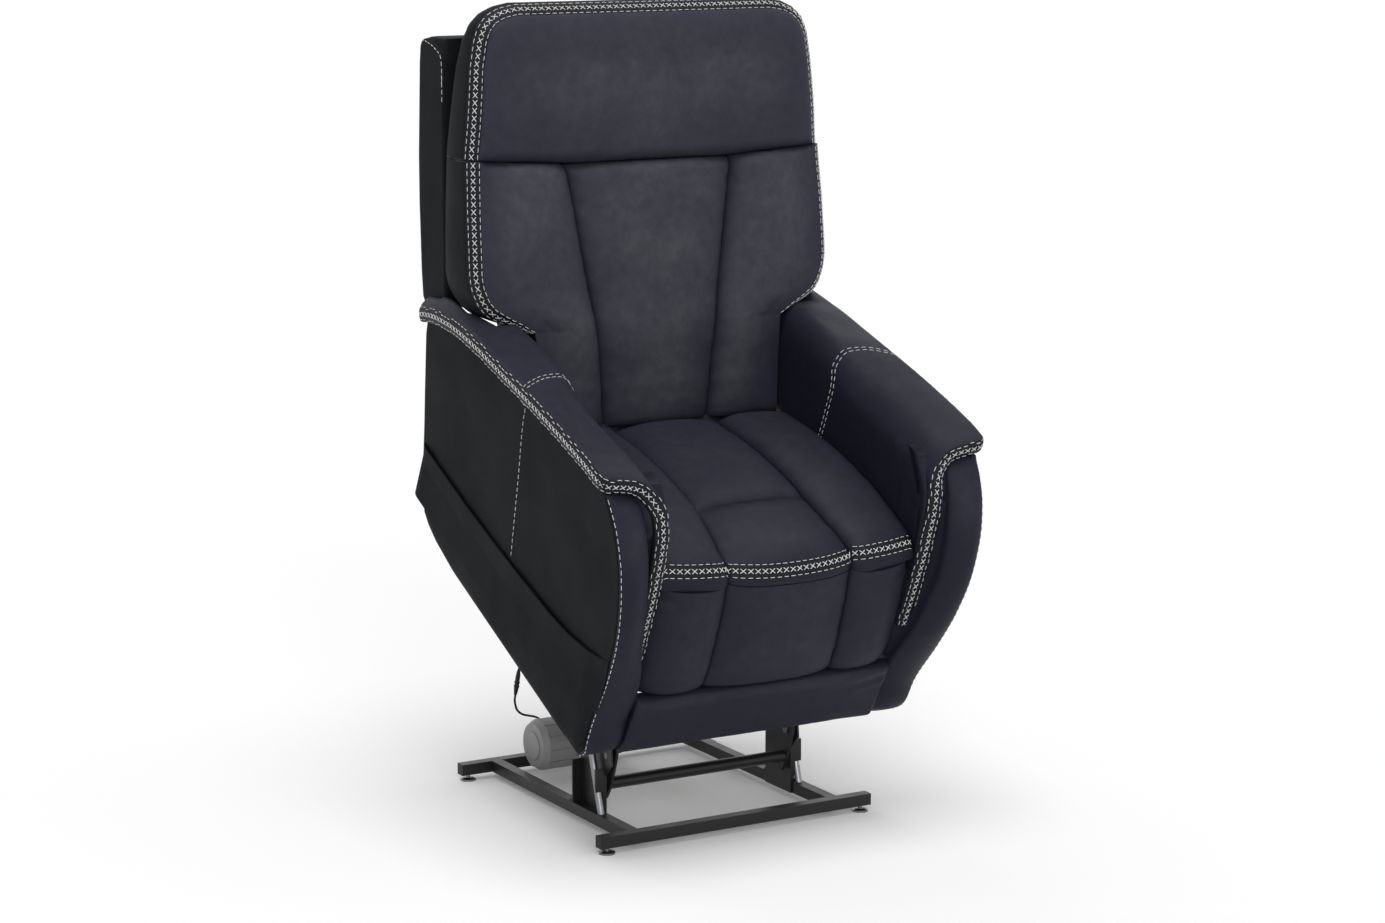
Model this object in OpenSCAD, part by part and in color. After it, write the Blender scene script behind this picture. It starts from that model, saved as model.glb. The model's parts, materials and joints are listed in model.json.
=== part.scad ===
// Power lift recliner chair, shown with its lift fully raised.
// +Z is up, the sitter looks along -Y and the sitter's left hand is on +X.

/* [Base frame] */
// Length of the front and rear floor rails
rail_l = 660; // [600:5:720]
// Side of the square rail tube
rail_s = 25; // [20:1:32]
// Wall of the square rail tube
rail_wall = 2; // [1.5:0.5:4]
// Front face of the front rail to rear face of the rear rail
base_depth = 670; // [640:5:720]
// Inner face of each side rail from the middle
side_rail_x = 233; // [233:1:240]
// Height of the rails above the floor
foot_h = 14; // [10:1:24]
// Diameter of a levelling foot
foot_d = 35; // [25:1:45]
// Diameter of the grey brace rods
brace_d = 15; // [10:1:16]

/* [Lift linkage] */
// How far the raised chair leans forward
lift_tilt = 26; // [20:1:30]
// Thickness of the lift links
link_t = 5; // [4:0.5:6]
// Diameter of the link pins
pin_d = 14; // [10:1:16]
// Radial running clearance of a pin in its bore
run_gap = 0.05; // [0.02:0.01:0.1]
// Diameter of the torque tube between the front links
torque_d = 27; // [20:1:30]
// Diameter of the lift motor
motor_d = 115; // [80:1:116]
// Length of the lift motor
motor_l = 180; // [140:1:184]

/* [Seat] */
// Inner face of each arm from the middle
arm_in = 305; // [300:1:312]
// Seat top at its cross seam above the frame datum
seat_z = 816; // [800:1:830]
// Thickness of the seat cushion at its cross seam
seat_t = 132; // [110:1:134]
// Depth of the sewn channels
channel = 15; // [6:1:20]
// Width of the middle channel at the front edge
mid_w = 294; // [240:2:330]

/* [Arms] */
// Outer face of the arm at its foot from the middle
arm_foot_x = 388; // [380:1:396]
// Outward lean of the outer face
arm_lean = 4.86; // [3:0.1:6]
// Thickness of the outer side panel
side_t = 16; // [10:1:20]
// Height of the sewn band round the top pad
band_h = 28; // [20:1:34]
// Overhang of the top pad past the side panel
pad_over = 12; // [6:1:14]
// Crown of the top pad
arm_crown = 18; // [5:1:25]

/* [Back] */
// Half width of the back at its wings
wing_x = 415; // [405:1:417]
// Half width of the back between the arms
waist_x = 300; // [285:1:301]
// Half width of the top of the headrest
top_x = 380; // [360:1:395]
// Height of the top of the headrest above the floor
back_top = 1722; // [1700:1:1740]
// Height of the crease under the headrest
crease_z = 1400; // [1380:1:1420]
// Front of the back at the crease
back_y = 50; // [45:1:56]
// Height of the top of the rear shell
shell_top = 1642; // [1600:1:1660]
// Wall of the rear shell
shell_t = 12; // [8:1:16]

/* [Footrest] */
// Length of each footrest link between its pins
foot_link = 180; // [178:0.5:182]
// Height of the footrest pad
foot_pad_h = 278; // [260:1:279]
// Fullness of the footrest pad
foot_pad_t = 60; // [45:1:66]

/* [Handset] */
// Length of the handset
hand_l = 150; // [130:1:170]
// Width of the handset
hand_w = 52; // [46:1:60]
// Travel of a handset button
press = 1.5; // [1:0.1:2]

/* [Hidden] */

// Shift that puts the middle of the whole chair's plan over the origin
origin_y = 114;
// Gap that keeps pieces on different bodies apart
gap = 0.3;
black = [0.05, 0.05, 0.055];
zinc = [0.62, 0.63, 0.65];
grey = [0.6, 0.6, 0.61];
leather = [0.13, 0.14, 0.19];
wood = [0.72, 0.56, 0.38];

// --- Levels and places of the base, in [y, z] pairs ---
rail_top = foot_h + rail_s;
rail_front = -base_depth / 2;
web_x = side_rail_x - 4;
web_t = 4;
tower_front = -171;
tower_rear = -65;
tower_h = 134;
front_pivot = [-172.8, 162.5];
rear_pivot = [-106.4, 185];
brace_top = [-118, 224];
brace_low = [-177, rail_top];
brace_x = side_rail_x + 13.5;
motor_pivot = [base_depth / 2 - 50, 75];

// --- Pins of the seat frame, in the chair's own [y, z] ---
front_hang = [111.5, 362.9];
rear_hang = [259.2, 377.7];
plate_x = 225;
plate_t = 3.8;
front_link_x = 216;
rear_link_x = web_x + web_t + 0.5;

// Chair's own [y, z] turned to where the raised chair holds it
function raised(p) = [
    p[0] * cos(lift_tilt) - p[1] * sin(lift_tilt),
    p[0] * sin(lift_tilt) + p[1] * cos(lift_tilt)
];
// A point r away from p in direction a
function polar(p, r, a) = [p[0] + r * cos(a), p[1] + r * sin(a)];
function heading(p, q) = atan2(q[1] - p[1], q[0] - p[0]);
// Value of y at x on a line through the points of table
function along(x, table) = lookup(x, table);
function bell(x, c, w) = exp(-pow((x - c) / w, 2));
function backwards(list) = [for (i = [len(list) - 1:-1:0]) list[i]];

front_head = raised(front_hang);
rear_head = raised(rear_hang);
// The lift actuator pushes a pin on ears of the cross tube
lift_arm_a = 112;
lift_arm_r = 90;
cross_r = 36;
cross_d = 22;
lift_pin = polar(front_pivot, lift_arm_r, lift_arm_a);
cross_at = polar(front_pivot, cross_r, lift_arm_a);
lift_x = 30;
lift_eye = 24;
lift_rod_d = 22;
lift_len = norm(lift_pin - motor_pivot);

// --- Seat frame ---
seat_rail_x = plate_x + plate_t;
seat_rail_w = 27;
seat_rail_z = 640;
seat_rail_h = 40;
seat_rail_front = -185;
seat_rail_rear = 400;
cross_rail_z = seat_rail_z + 4;
rear_rail_y = seat_rail_rear - 36;
recline_pivot = [80, 800];

// --- Arms ---
slope = tan(arm_lean);
board_t = 12;
// Height where the top pads sit on the arm boards
arm_foot = 745;
arm_bolt_y = [40, 305];
arm_bolt_z = 660;
arm_bolt_d = 10;
function outer_x(z) = arm_foot_x + slope * (z - 370);
// Depth of the pocket inside the side panel and outside it
pocket_deep = 11;
pocket_lip = 5;
// Height of the band's lower edge along the arm
arm_top = [
    [-200, 972], [-125, 970], [40, 960], [315, 929], [456, 907], [596, 872],
    [660, 838], [720, 806]
];
// Front edge of the arm at each height
arm_front = [
    [343, -150], [372, -215], [450, -238], [544, -252], [675, -264], [789, -254],
    [850, -241], [888, -226], [923, -195], [958, -148]
];
arm_rear = [[343, 430], [361, 545], [389, 603], [472, 636], [581, 655], [799, 700]];

// The wings of the back swing over this radius about the recline pivot
function swing_r(x) = along(abs(x), [[300, 246], [340, 250], [385, 276], [410, 290], [430, 292]]);

// --- Footrest pivots, in the chair's own [y, z] ---
foot_s = [-60, 652];
foot_f = [-170, 642];
foot_half = norm(foot_f - foot_s) / 2;
foot_drop = sqrt(foot_link * foot_link - foot_half * foot_half);
foot_e = polar((foot_s + foot_f) / 2, foot_drop, heading(foot_s, foot_f) + 90);
foot_crank_a = -62;
foot_crank_r = 86;
foot_bar_r = 40;
foot_crank = polar(foot_s, foot_crank_r, foot_crank_a);
foot_bar = polar(foot_s, foot_bar_r, foot_crank_a);
small_bar_d = 22;
small_rod_d = 16;
eye_w = 16;
foot_x = 110;
foot_motor = [330, 606];
foot_link_x = 260;
foot_pad_top = 790;

// --- Recline actuator, in the chair's own [y, z] ---
function settled(p) = [
    p[0] * cos(lift_tilt) + p[1] * sin(lift_tilt),
    -p[0] * sin(lift_tilt) + p[1] * cos(lift_tilt)
];
hinge = settled(recline_pivot);
recline_arm = hinge + [-17, -109];
recline_bar = hinge + [-12, -77];
recline_from = [70, 600];
mid_rail_y = 54;
recline_x = -120;

// ---------- helpers ----------

// Puts children where the raised chair holds them
module chair() {
    translate([0, origin_y, 0]) rotate([lift_tilt, 0, 0]) children();
}

module floor_frame() {
    translate([0, origin_y, 0]) children();
}

module both() {
    children();
    mirror([1, 0, 0]) children();
}

// Extrudes a [y, z] outline along +X from x
module plate(x, t) {
    translate([x, 0, 0]) rotate([90, 0, 90]) linear_extrude(t) children();
}

// Cylinder along +X from x through the [y, z] point p
module rod(p, x, l, d) {
    translate([x, p[0], p[1]]) rotate([0, 90, 0]) cylinder(h = l, d = d, $fn = 48);
}

// Flat bar outline from p to q with round ends of radius a and b
module bar(p, q, a, b) {
    t = heading(p, q);
    n = [-sin(t), cos(t)];
    polygon([p + a * n, p - a * n, q - b * n, q + b * n]);
    translate(p) circle(r = a, $fn = 48);
    translate(q) circle(r = b, $fn = 48);
}

module hole(p, d) {
    translate(p) circle(d = d, $fn = 48);
}

// Box from corner a to corner b
module block(a, b) {
    translate(a) cube(b - a);
}

// Square tube along +X or +Y
module tube(size, wall, l) {
    difference() {
        cube([l, size, size]);
        translate([-1, wall, wall]) cube([l + 2, size - 2 * wall, size - 2 * wall]);
    }
}

// Closed solid through rings of equally many points. end is the triangles of the last ring's face
module loft(rings, end = undef) {
    n = len(rings[0]);
    last = (len(rings) - 1) * n;
    skin = [
        for (i = [0:len(rings) - 2], j = [0:n - 1])
            let (a = i * n + j, b = i * n + (j + 1) % n)
            each [[a, b, a + n], [b, b + n, a + n]]
    ];
    polyhedron(
        [for (r = rings) each r],
        concat(
            skin, [[for (j = [n - 1:-1:0]) j]],
            is_undef(end) ? [[for (j = [0:n - 1]) last + j]] : [for (f = end) [for (j = f) last + j]]
        )
    );
}

// Loft of [y, z] outlines, each standing at its own x
module loft_x(xs, outline) {
    loft([for (x = xs) [for (p = outline(x)) [x, p[0], p[1]]]]);
}

// ---------- base ----------

module floor_rails() {
    color(black) floor_frame()
        for (y = [rail_front, -rail_front - rail_s])
            translate([-rail_l / 2, y, foot_h]) tube(rail_s, rail_wall, rail_l);
}

module side_rails() {
    color(black) floor_frame() both()
        translate([side_rail_x + rail_s, rail_front + rail_s, foot_h])
            rotate([0, 0, 90]) tube(rail_s, rail_wall, base_depth - 2 * rail_s);
}

module rail_end_caps() {
    inner = rail_s - 2 * rail_wall;
    color(black) floor_frame() both()
        for (y = [rail_front, -rail_front - rail_s]) {
            translate([rail_l / 2, y, foot_h]) cube([2, rail_s, rail_s]);
            translate([rail_l / 2 - 12, y + rail_wall, foot_h + rail_wall])
                cube([12, inner, inner]);
        }
}

module levelling_feet() {
    color(zinc) floor_frame() both()
        for (y = [rail_front + rail_s / 2, -rail_front - rail_s / 2])
            translate([rail_l / 2 - 18, y, 0]) {
                cylinder(h = 4, d = foot_d, $fn = 48);
                translate([0, 0, 4]) cylinder(h = 3, d1 = foot_d, d2 = foot_d * 0.55, $fn = 48);
                translate([0, 0, 7]) cylinder(h = foot_h - 7, d = 9, $fn = 24);
            }
}

module tower_outline() {
    polygon([
        [tower_front, foot_h], [tower_rear, foot_h], [tower_rear, tower_h + 12],
        [-78, 200], [-98, 238], [-134, 240], [-196, 186], [-200, 146], [tower_front, 118]
    ]);
}

module towers() {
    flange = 23;
    color(black) floor_frame() both() {
        difference() {
            plate(web_x, web_t) tower_outline();
            for (p = [front_pivot, rear_pivot, brace_top]) rod(p, web_x - 1, web_t + 2, pin_d);
        }
        difference() {
            for (y = [tower_front, tower_rear - web_t])
                block([web_x + web_t, y, rail_top], [web_x + web_t + flange, y + web_t, tower_h]);
            // The brace rod leans back through the front flange
            translate([brace_x, brace_low[0], brace_low[1]])
                rotate([heading(brace_low, brace_top) - 90, 0, 0])
                    translate([-brace_d / 2 - 0.5, -brace_d / 2 - 0.5, -20])
                        cube([flange, brace_d + 1, 120]);
        }
        // Flared foot behind the rear flange
        plate(web_x + web_t, flange)
            polygon([[tower_rear, rail_top], [tower_rear + 14, rail_top], [tower_rear, rail_top + 13]]);
    }
}

module tower_braces() {
    a = heading(brace_low, brace_top);
    color(zinc) floor_frame() both() {
        difference() {
            union() {
                translate([brace_x, brace_low[0], brace_low[1]]) rotate([a - 90, 0, 0])
                    translate([0, 0, -5])
                        cylinder(h = norm(brace_top - brace_low) + 5, d = brace_d, $fn = 32);
                rod(brace_top, brace_x - brace_d / 2 - 1, brace_d + 2, 24);
            }
            rod(brace_top, brace_x - brace_d, 2 * brace_d, pin_d);
            block([brace_x - 20, brace_low[0] - 20, 0], [brace_x + 20, brace_low[0] + 20, rail_top]);
        }
    }
}

module tower_pins() {
    head = 3;
    brace_face = brace_x + brace_d / 2 + 1;
    color(zinc) floor_frame() both() {
        rod(front_pivot, front_link_x - 1, web_x + web_t - front_link_x + 1, pin_d);
        rod(front_pivot, front_link_x - 1 - head, head, pin_d + 6);
        rod(rear_pivot, web_x, rear_link_x + link_t - web_x, pin_d);
        rod(brace_top, web_x, brace_face - web_x, pin_d);
        rod(brace_top, brace_face, head, pin_d + 5);
    }
}

module actuator_bracket() {
    ear = 6;
    inside = 42;
    y = -rail_front - rail_s;
    color(black) floor_frame() difference() {
        union() {
            block([lift_x - 40, y - 6, foot_h], [lift_x + 40, y, rail_top]);
            for (s = [-1, 1])
                translate([s * (inside + ear) / 2 + lift_x - ear / 2, 0, 0])
                    plate(0, ear) union() {
                        polygon([
                            [y - 6, foot_h + 6], [y, foot_h + 6], [y, rail_top], [motor_pivot[0] + 15, 75],
                            [motor_pivot[0] - 15, 75]
                        ]);
                        hole(motor_pivot, 30);
                    }
        }
        rod(motor_pivot, lift_x - 60, 120, pin_d + 2 * run_gap);
    }
}

// ---------- lift linkage ----------

module front_links() {
    tail = [[-160, 98], [-146, 72]];
    color(black) floor_frame() both()
        plate(front_link_x, link_t + 1) difference() {
            union() {
                bar(front_pivot, front_head, 25, 18);
                bar(front_pivot, tail[0], 25, 14);
                bar(tail[0], tail[1], 14, 11);
                bar(front_pivot, cross_at, 25, 20);
            }
            hole(front_pivot, pin_d + 2 * run_gap);
            hole(front_head, pin_d + 2 * run_gap);
        }
}

module torque_tube() {
    color(black) floor_frame() difference() {
        rod([-160, 98], -front_link_x, 2 * front_link_x, torque_d);
        rod([-160, 98], -front_link_x - 1, 2 * front_link_x + 2, torque_d - 5);
    }
}

module lift_cross_tube() {
    ear = 5;
    color(black) floor_frame() {
        difference() {
            rod(cross_at, -front_link_x, 2 * front_link_x, cross_d);
            rod(cross_at, -front_link_x - 1, 2 * front_link_x + 2, cross_d - 5);
        }
        for (s = [-1, 1])
            translate([lift_x + s * (lift_eye / 2 + gap + ear / 2) - ear / 2, 0, 0]) {
                plate(0, ear) difference() {
                    bar(cross_at, lift_pin, 16, 15);
                    hole(cross_at, cross_d);
                }
                rod(lift_pin, s > 0 ? ear : -4, 4, 20);
            }
    }
}

module rear_links() {
    color(black) floor_frame() both()
        plate(rear_link_x, link_t) difference() {
            bar(rear_pivot, rear_head, 18, 18);
            hole(rear_pivot, pin_d + 2 * run_gap);
            hole(rear_head, pin_d + 4);
        }
}

// ---------- lift actuator ----------

// Children drawn along +X from the motor pivot towards the lift pin
module actuator(from, to, x) {
    translate([x, from[0], from[1]]) rotate([heading(from, to), 0, 0])
        rotate([0, 0, 90]) children();
}

module lift_motor() {
    cap = 14;
    end = lift_x - 35;
    mid = [motor_pivot[0] - 35, 79];
    color(grey) floor_frame() {
        difference() {
            rod(mid, end - motor_l + cap, motor_l - cap, motor_d);
            for (a = [0:30:330])
                translate([end - motor_l + cap - 1, mid[0], mid[1]]) rotate([a, 0, 0])
                    translate([0, -1.5, motor_d / 2 - 2]) cube([motor_l - 34, 3, 4]);
        }
        translate([end - motor_l, mid[0], mid[1]]) rotate([0, 90, 0])
            cylinder(h = cap, d1 = motor_d - 16, d2 = motor_d, $fn = 64);
        rod(mid, end - motor_l - 3, 3, motor_d * 0.55);
    }
}

module lift_gearbox() {
    mid = [motor_pivot[0] - 35, 79];
    half = 20.5;
    color(black) floor_frame() {
        rod(mid, lift_x - half, 2 * half, 78);
        rod(mid - [12, 0], lift_x - 35, 35, 44);
        rod(motor_pivot, lift_x - half, 2 * half, 32);
        plate(lift_x - half, 2 * half) bar(mid, motor_pivot, 30, 16);
        rod(motor_pivot, lift_x - 28, 56, pin_d);
        actuator(motor_pivot, lift_pin, lift_x) translate([30, 0, 0]) rotate([0, 90, 0])
            cylinder(h = 62, d = 50, $fn = 48);
    }
}

module lift_tube() {
    start = 92;
    end = 345;
    color(grey) floor_frame() actuator(motor_pivot, lift_pin, lift_x) difference() {
        translate([start, 0, 0]) rotate([0, 90, 0]) cylinder(h = end - start, d = 38, $fn = 48);
        translate([start + 6, 0, 0]) rotate([0, 90, 0])
            cylinder(h = end - start, d = lift_rod_d + 2 * run_gap, $fn = 48);
    }
}

module lift_rod() {
    start = 250;
    color(zinc) floor_frame() {
        actuator(motor_pivot, lift_pin, lift_x) translate([start, 0, 0])
            rotate([0, 90, 0]) cylinder(h = lift_len - start - 12, d = lift_rod_d, $fn = 48);
        rod(lift_pin, lift_x - lift_eye / 2, lift_eye, 28);
    }
}

// ---------- motor lead ----------

lead_d = 5;
// Route of the lead from the motor cap to its connector, behind the motor pivot by its y
lead_start = [
    [-136, 12, 113], [-137, 24, 119], [-143, 36, 123], [-154, 46, 125], [-168, 51, 129],
    [-180, 50, 139], [-188, 44, 152], [-193.5, 37.5, 167], [-194, 33, 182], [-194, 15, 242],
    [-194.3, 9.2, 262]
];
function behind_motor(p) = p + [0, motor_pivot[0], 0];
lead_route = [for (i = [0:8]) behind_motor(lead_start[i])];
lead_upper = concat([for (i = [9, 10]) behind_motor(lead_start[i])], [
    [-197, 292, 284], [-200, 290, 306], [-203, 290, 328],
    [-206, 292, 350], [-208, 295, 371], [-209, 298, 392], [-210, 299, 412], [-210, 297, 430],
    [-210, 288, 448], [-210, 273, 465], [-209, 253, 481], [-207, 230, 497], [-203, 206, 513],
    [-196, 181, 529], [-186, 156, 545], [-172, 131, 560], [-154, 107, 573], [-133, 84, 584],
    [-111, 63, 595], [-90, 45, 608], [-74, 30, 624], [-64, 18, 641], [-60, 7.4, 651],
    [-60, -3.1, 672.5]
]);

function unit(v) = v / norm(v);
function route_dir(route, i) = unit(
    route[min(i + 1, len(route) - 1)] - route[max(i - 1, 0)]
);
// Ring of points round point i of a route
function route_ring(route, i, d) =
    let (t = route_dir(route, i), a = unit(cross(t, [1, 0, 0.02])), b = cross(t, a))
    [for (k = [0:7]) route[i] + d / 2 * (cos(k * 45) * a - sin(k * 45) * b)];

module cord(route, d) {
    loft([for (i = [0:len(route) - 1]) route_ring(route, i, d)]);
}

module motor_lead() {
    color(black) floor_frame() {
        cord(lead_route, lead_d);
        cord(lead_upper, lead_d);
    }
}

module lead_connector() {
    low = lead_route[len(lead_route) - 1];
    high = lead_upper[0];
    v = high - low;
    color(black) floor_frame() translate(low)
        rotate([0, acos(v[2] / norm(v)), atan2(v[1], v[0])]) {
            cylinder(h = 14, d1 = 7, d2 = 10.5, $fn = 32);
            translate([0, 0, 14]) cylinder(h = norm(v) - 28, d = 10.5, $fn = 32);
            translate([0, 0, norm(v) - 14]) cylinder(h = 14, d1 = 10.5, d2 = 7, $fn = 32);
            for (z = [20, 30])
                translate([0, 0, z]) cylinder(h = 3, d = 12.5, $fn = 32);
        }
}

// ---------- seat frame ----------

module linkage_plates() {
    color(black) chair() both()
        plate(plate_x, plate_t) difference() {
            union() {
                bar(front_hang, rear_hang, 20, 20);
                polygon([
                    front_hang + [-20, 0], rear_hang + [20, 0], [290, seat_rail_z + 30],
                    [92, seat_rail_z + 30]
                ]);
            }
            hole(front_hang, pin_d);
            hole(rear_hang, pin_d);
            translate([120, 470]) circle(d = 46, $fn = 48);
            translate([235, 480]) circle(d = 60, $fn = 48);
        }
}

module seat_side_rails() {
    color(black) chair() both() difference() {
        union() {
            translate([seat_rail_x + seat_rail_w, seat_rail_front, seat_rail_z])
                cube([3, seat_rail_rear - seat_rail_front, seat_rail_h]);
            block(
                [seat_rail_x, seat_rail_front, seat_rail_z],
                [seat_rail_x + seat_rail_w, seat_rail_rear, seat_rail_z + seat_rail_h]
            );
            plate(seat_rail_x + seat_rail_w + 3, 4)
                polygon([
                    [seat_rail_rear - 70, seat_rail_z], [hinge[0], hinge[1] - 18],
                    [hinge[0] + 18, hinge[1]], [hinge[0], hinge[1] + 18],
                    [seat_rail_rear - 70, seat_rail_z + seat_rail_h]
                ]);
        }
        // The rail is a channel that opens towards the middle
        block(
            [seat_rail_x - 1, seat_rail_front - 1, seat_rail_z + 3],
            [seat_rail_x + seat_rail_w, seat_rail_rear + 1, seat_rail_z + seat_rail_h - 3]
        );
        rod(foot_s, seat_rail_x, seat_rail_w + 10, 12);
        rod(hinge, seat_rail_x, seat_rail_w + 12, 12);
    }
}

module seat_cross_rails() {
    size = seat_rail_h - 8;
    color(black) chair()
        for (y = [seat_rail_front + 3, mid_rail_y, rear_rail_y])
            translate([-seat_rail_x - seat_rail_w, y, cross_rail_z])
                tube(size, 2, 2 * (seat_rail_x + seat_rail_w));
}

// Two ears and a pin at p, rooted on a cross rail between the points of root
module clevis(p, x, root) {
    ear = 4;
    for (s = [-1, 1])
        plate(x + s * (eye_w / 2 + 0.5 + ear / 2) - ear / 2, ear) {
            polygon(concat([p + [-13, 0], p + [13, 0]], root));
            hole(p, 26);
        }
    rod(p, x - eye_w / 2 - 8, eye_w + 16, 10);
}

module actuator_clevises() {
    color(black) chair() {
        clevis(recline_from, recline_x, [[mid_rail_y + 30, cross_rail_z], [mid_rail_y, cross_rail_z]]);
        clevis(foot_motor, foot_x, [[rear_rail_y, cross_rail_z + 2], [rear_rail_y, cross_rail_z + 28]]);
    }
}

module frame_pins() {
    out = seat_rail_x + seat_rail_w;
    color(zinc) chair() both() {
        rod(front_hang, front_link_x, plate_x + plate_t - front_link_x, pin_d);
        rod(rear_hang, plate_x, rear_link_x + link_t + 2 - plate_x, pin_d);
        rod(foot_s, out, foot_link_x + link_t + 1 - out, 12);
        rod(hinge, out, 277 + 5 - out, 12);
    }
}

// One zigzag spring wire across the seat, drawn from straight runs and half rings
module zigzag(width, pitch, amp, d) {
    n = floor(width / pitch);
    for (i = [0:n - 1]) {
        up = i % 2 == 0;
        translate([(i + 0.5 - n / 2) * pitch, -amp, 0]) rotate([-90, 0, 0])
            cylinder(h = 2 * amp, d = d, $fn = 16);
        if (i < n - 1)
            translate([(i + 1 - n / 2) * pitch, up ? amp : -amp, 0])
                rotate([0, 0, up ? 0 : 180])
                    rotate_extrude(angle = 180, $fn = 48)
                        translate([pitch / 2, 0]) circle(d = d, $fn = 16);
    }
}

module seat_springs() {
    z = seat_rail_z + seat_rail_h + 2;
    color(zinc) chair()
        for (y = [-120, -10, 100, 210, 310])
            translate([0, y, z]) {
                zigzag(2 * seat_rail_x, 26, 20, 4);
                for (s = [-1, 1])
                    translate([s * seat_rail_x - (s < 0 ? 24 : 0) - s * 10, 0, 0])
                        rotate([0, 90, 0]) cylinder(h = 24, d = 4, $fn = 16);
            }
}

module control_box() {
    color(black) chair() difference() {
        block([-80, 234, 606], [60, 354, cross_rail_z]);
        for (x = [-40:14:46])
            block([x, 230, 600], [x + 6, 364, 609]);
    }
}

// ---------- front panel ----------

module front_panel() {
    half = arm_in + 1 - gap;
    xs = [for (t = [-1, -0.97, -0.85, -0.5, 0, 0.5, 0.85, 0.97, 1]) t * half];
    color(leather) chair()
        loft_x(xs, function (x)
            let (e = 1 - pow(abs(x) / half, 8))
            [
                [-215, 362], [-222 - 2 * e, 359], [-228 - 6 * e, 370], [-232 - 8 * e, 410],
                [-235 - 8 * e, 450], [-238 - 6 * e, 490], [-238 - 2 * e, 506], [-228, 509],
                [-224, 506]
            ]);
}

// ---------- arms ----------

// Outline of the arm's side below the sewn band
function side_outline() = concat(
    [for (p = arm_front) [p[1] + 26, p[0]]],
    [for (p = arm_top) if (p[0] > -120 && p[0] < 700) [p[0], p[1] - (p[0] > 600 ? 3 : 0)]],
    [for (i = [len(arm_rear) - 2:-1:0]) [arm_rear[i][1], arm_rear[i][0]]]
);

module arm_boards() {
    color(wood) chair() both() difference() {
        plate(arm_in + 1, board_t)
            polygon([
                [-120, 352], [-180, 372], [-205, 544], [-215, 675], [-212, arm_foot], [560, arm_foot],
                [610, 581], [590, 400], [430, 352]
            ]);
        for (y = arm_bolt_y) rod([y, arm_bolt_z], arm_in, board_t + 2, arm_bolt_d);
    }
}

// Timber between the inner board and the outer panel, from y to y + d
module arm_timber(y, d, low, high) {
    inner = arm_in + 1 + board_t;
    face = side_t / cos(arm_lean) + gap;
    translate([0, y + d, 0]) rotate([90, 0, 0]) linear_extrude(d)
        polygon([
            [inner, low], [outer_x(low) - face, low], [outer_x(high) - face, high], [inner, high]
        ]);
}

module arm_blocks() {
    color(wood) chair() both() {
        arm_timber(-170, 40, 385, 820);
        arm_timber(560, 30, 420, 740);
        arm_timber(-120, 670, 352, 384);
    }
}

module arm_bolts() {
    face = seat_rail_x + seat_rail_w + 3;
    color(zinc) chair() both()
        for (y = arm_bolt_y) rod([y, arm_bolt_z], face, arm_in + 5 + board_t - face, arm_bolt_d);
}

// Children drawn with the outer face of the arm on side s as the plane x = 0
module on_side(s) {
    translate([s * outer_x(343), 0, 343]) rotate([0, s * arm_lean, 0]) translate([0, 0, -343])
        children();
}

module arm_side_panel(s) {
    on_side(s) translate([s > 0 ? -side_t : 0, 0, 0]) plate(0, side_t) polygon(side_outline());
}

module pocket_inside() {
    polygon([
        [-160, 560], [-160, 440], [-120, 404], [400, 404], [520, 440], [560, 549], [393, 560]
    ]);
}

module arm_side_panel_left() {
    color(leather) chair() arm_side_panel(1);
}

module arm_side_panel_right() {
    color(leather) chair() difference() {
        arm_side_panel(-1);
        on_side(-1) plate(-1, pocket_deep + 1) pocket_inside();
    }
}

// Inner edge of the front pad at height z
function front_in(z) = along(z, [
    [340, arm_in + 1], [780, arm_in + 1], [900, arm_in + 18], [935, arm_in + 32], [950, arm_in + 40]
]);

module arm_front_pads() {
    zs = [345, 352, 372, 411, 450, 497, 544, 610, 675, 732, 789, 850, 888, 915, 923, 935, 950, 961];
    us = [0, 0.1, 0.3, 0.5, 0.7, 0.9, 1];
    full = [[345, 2], [372, 8], [480, 15], [850, 16], [923, 12], [955, 4]];
    color(leather) chair() both()
        loft(backwards([
            for (z = zs)
                let (y = along(z, arm_front), a = front_in(z), b = outer_x(z) - 1)
                concat(
                    [
                        for (u = us)
                            let (swell = pow(sin(180 * (0.06 + 0.88 * u)), 0.6))
                                [a + u * (b - a), y + 14 - (along(z, full) + 8) * swell, z]
                    ],
                    [[b, y + 25.5, z], [a, y + 25.5, z]]
                )
        ]));
}

// Keeps a point of the arm's pad inside the swing of the wings
function tucked(p) =
    let (r = swing_r(p[0]) - 3, v = [p[1], p[2]] - hinge, f = min(1, r / norm(v)))
    abs(p[0]) < wing_x + 4 && p[1] > 480
        ? [p[0], hinge[0] + f * v[0], hinge[1] + f * v[1]]
        : p;

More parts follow.
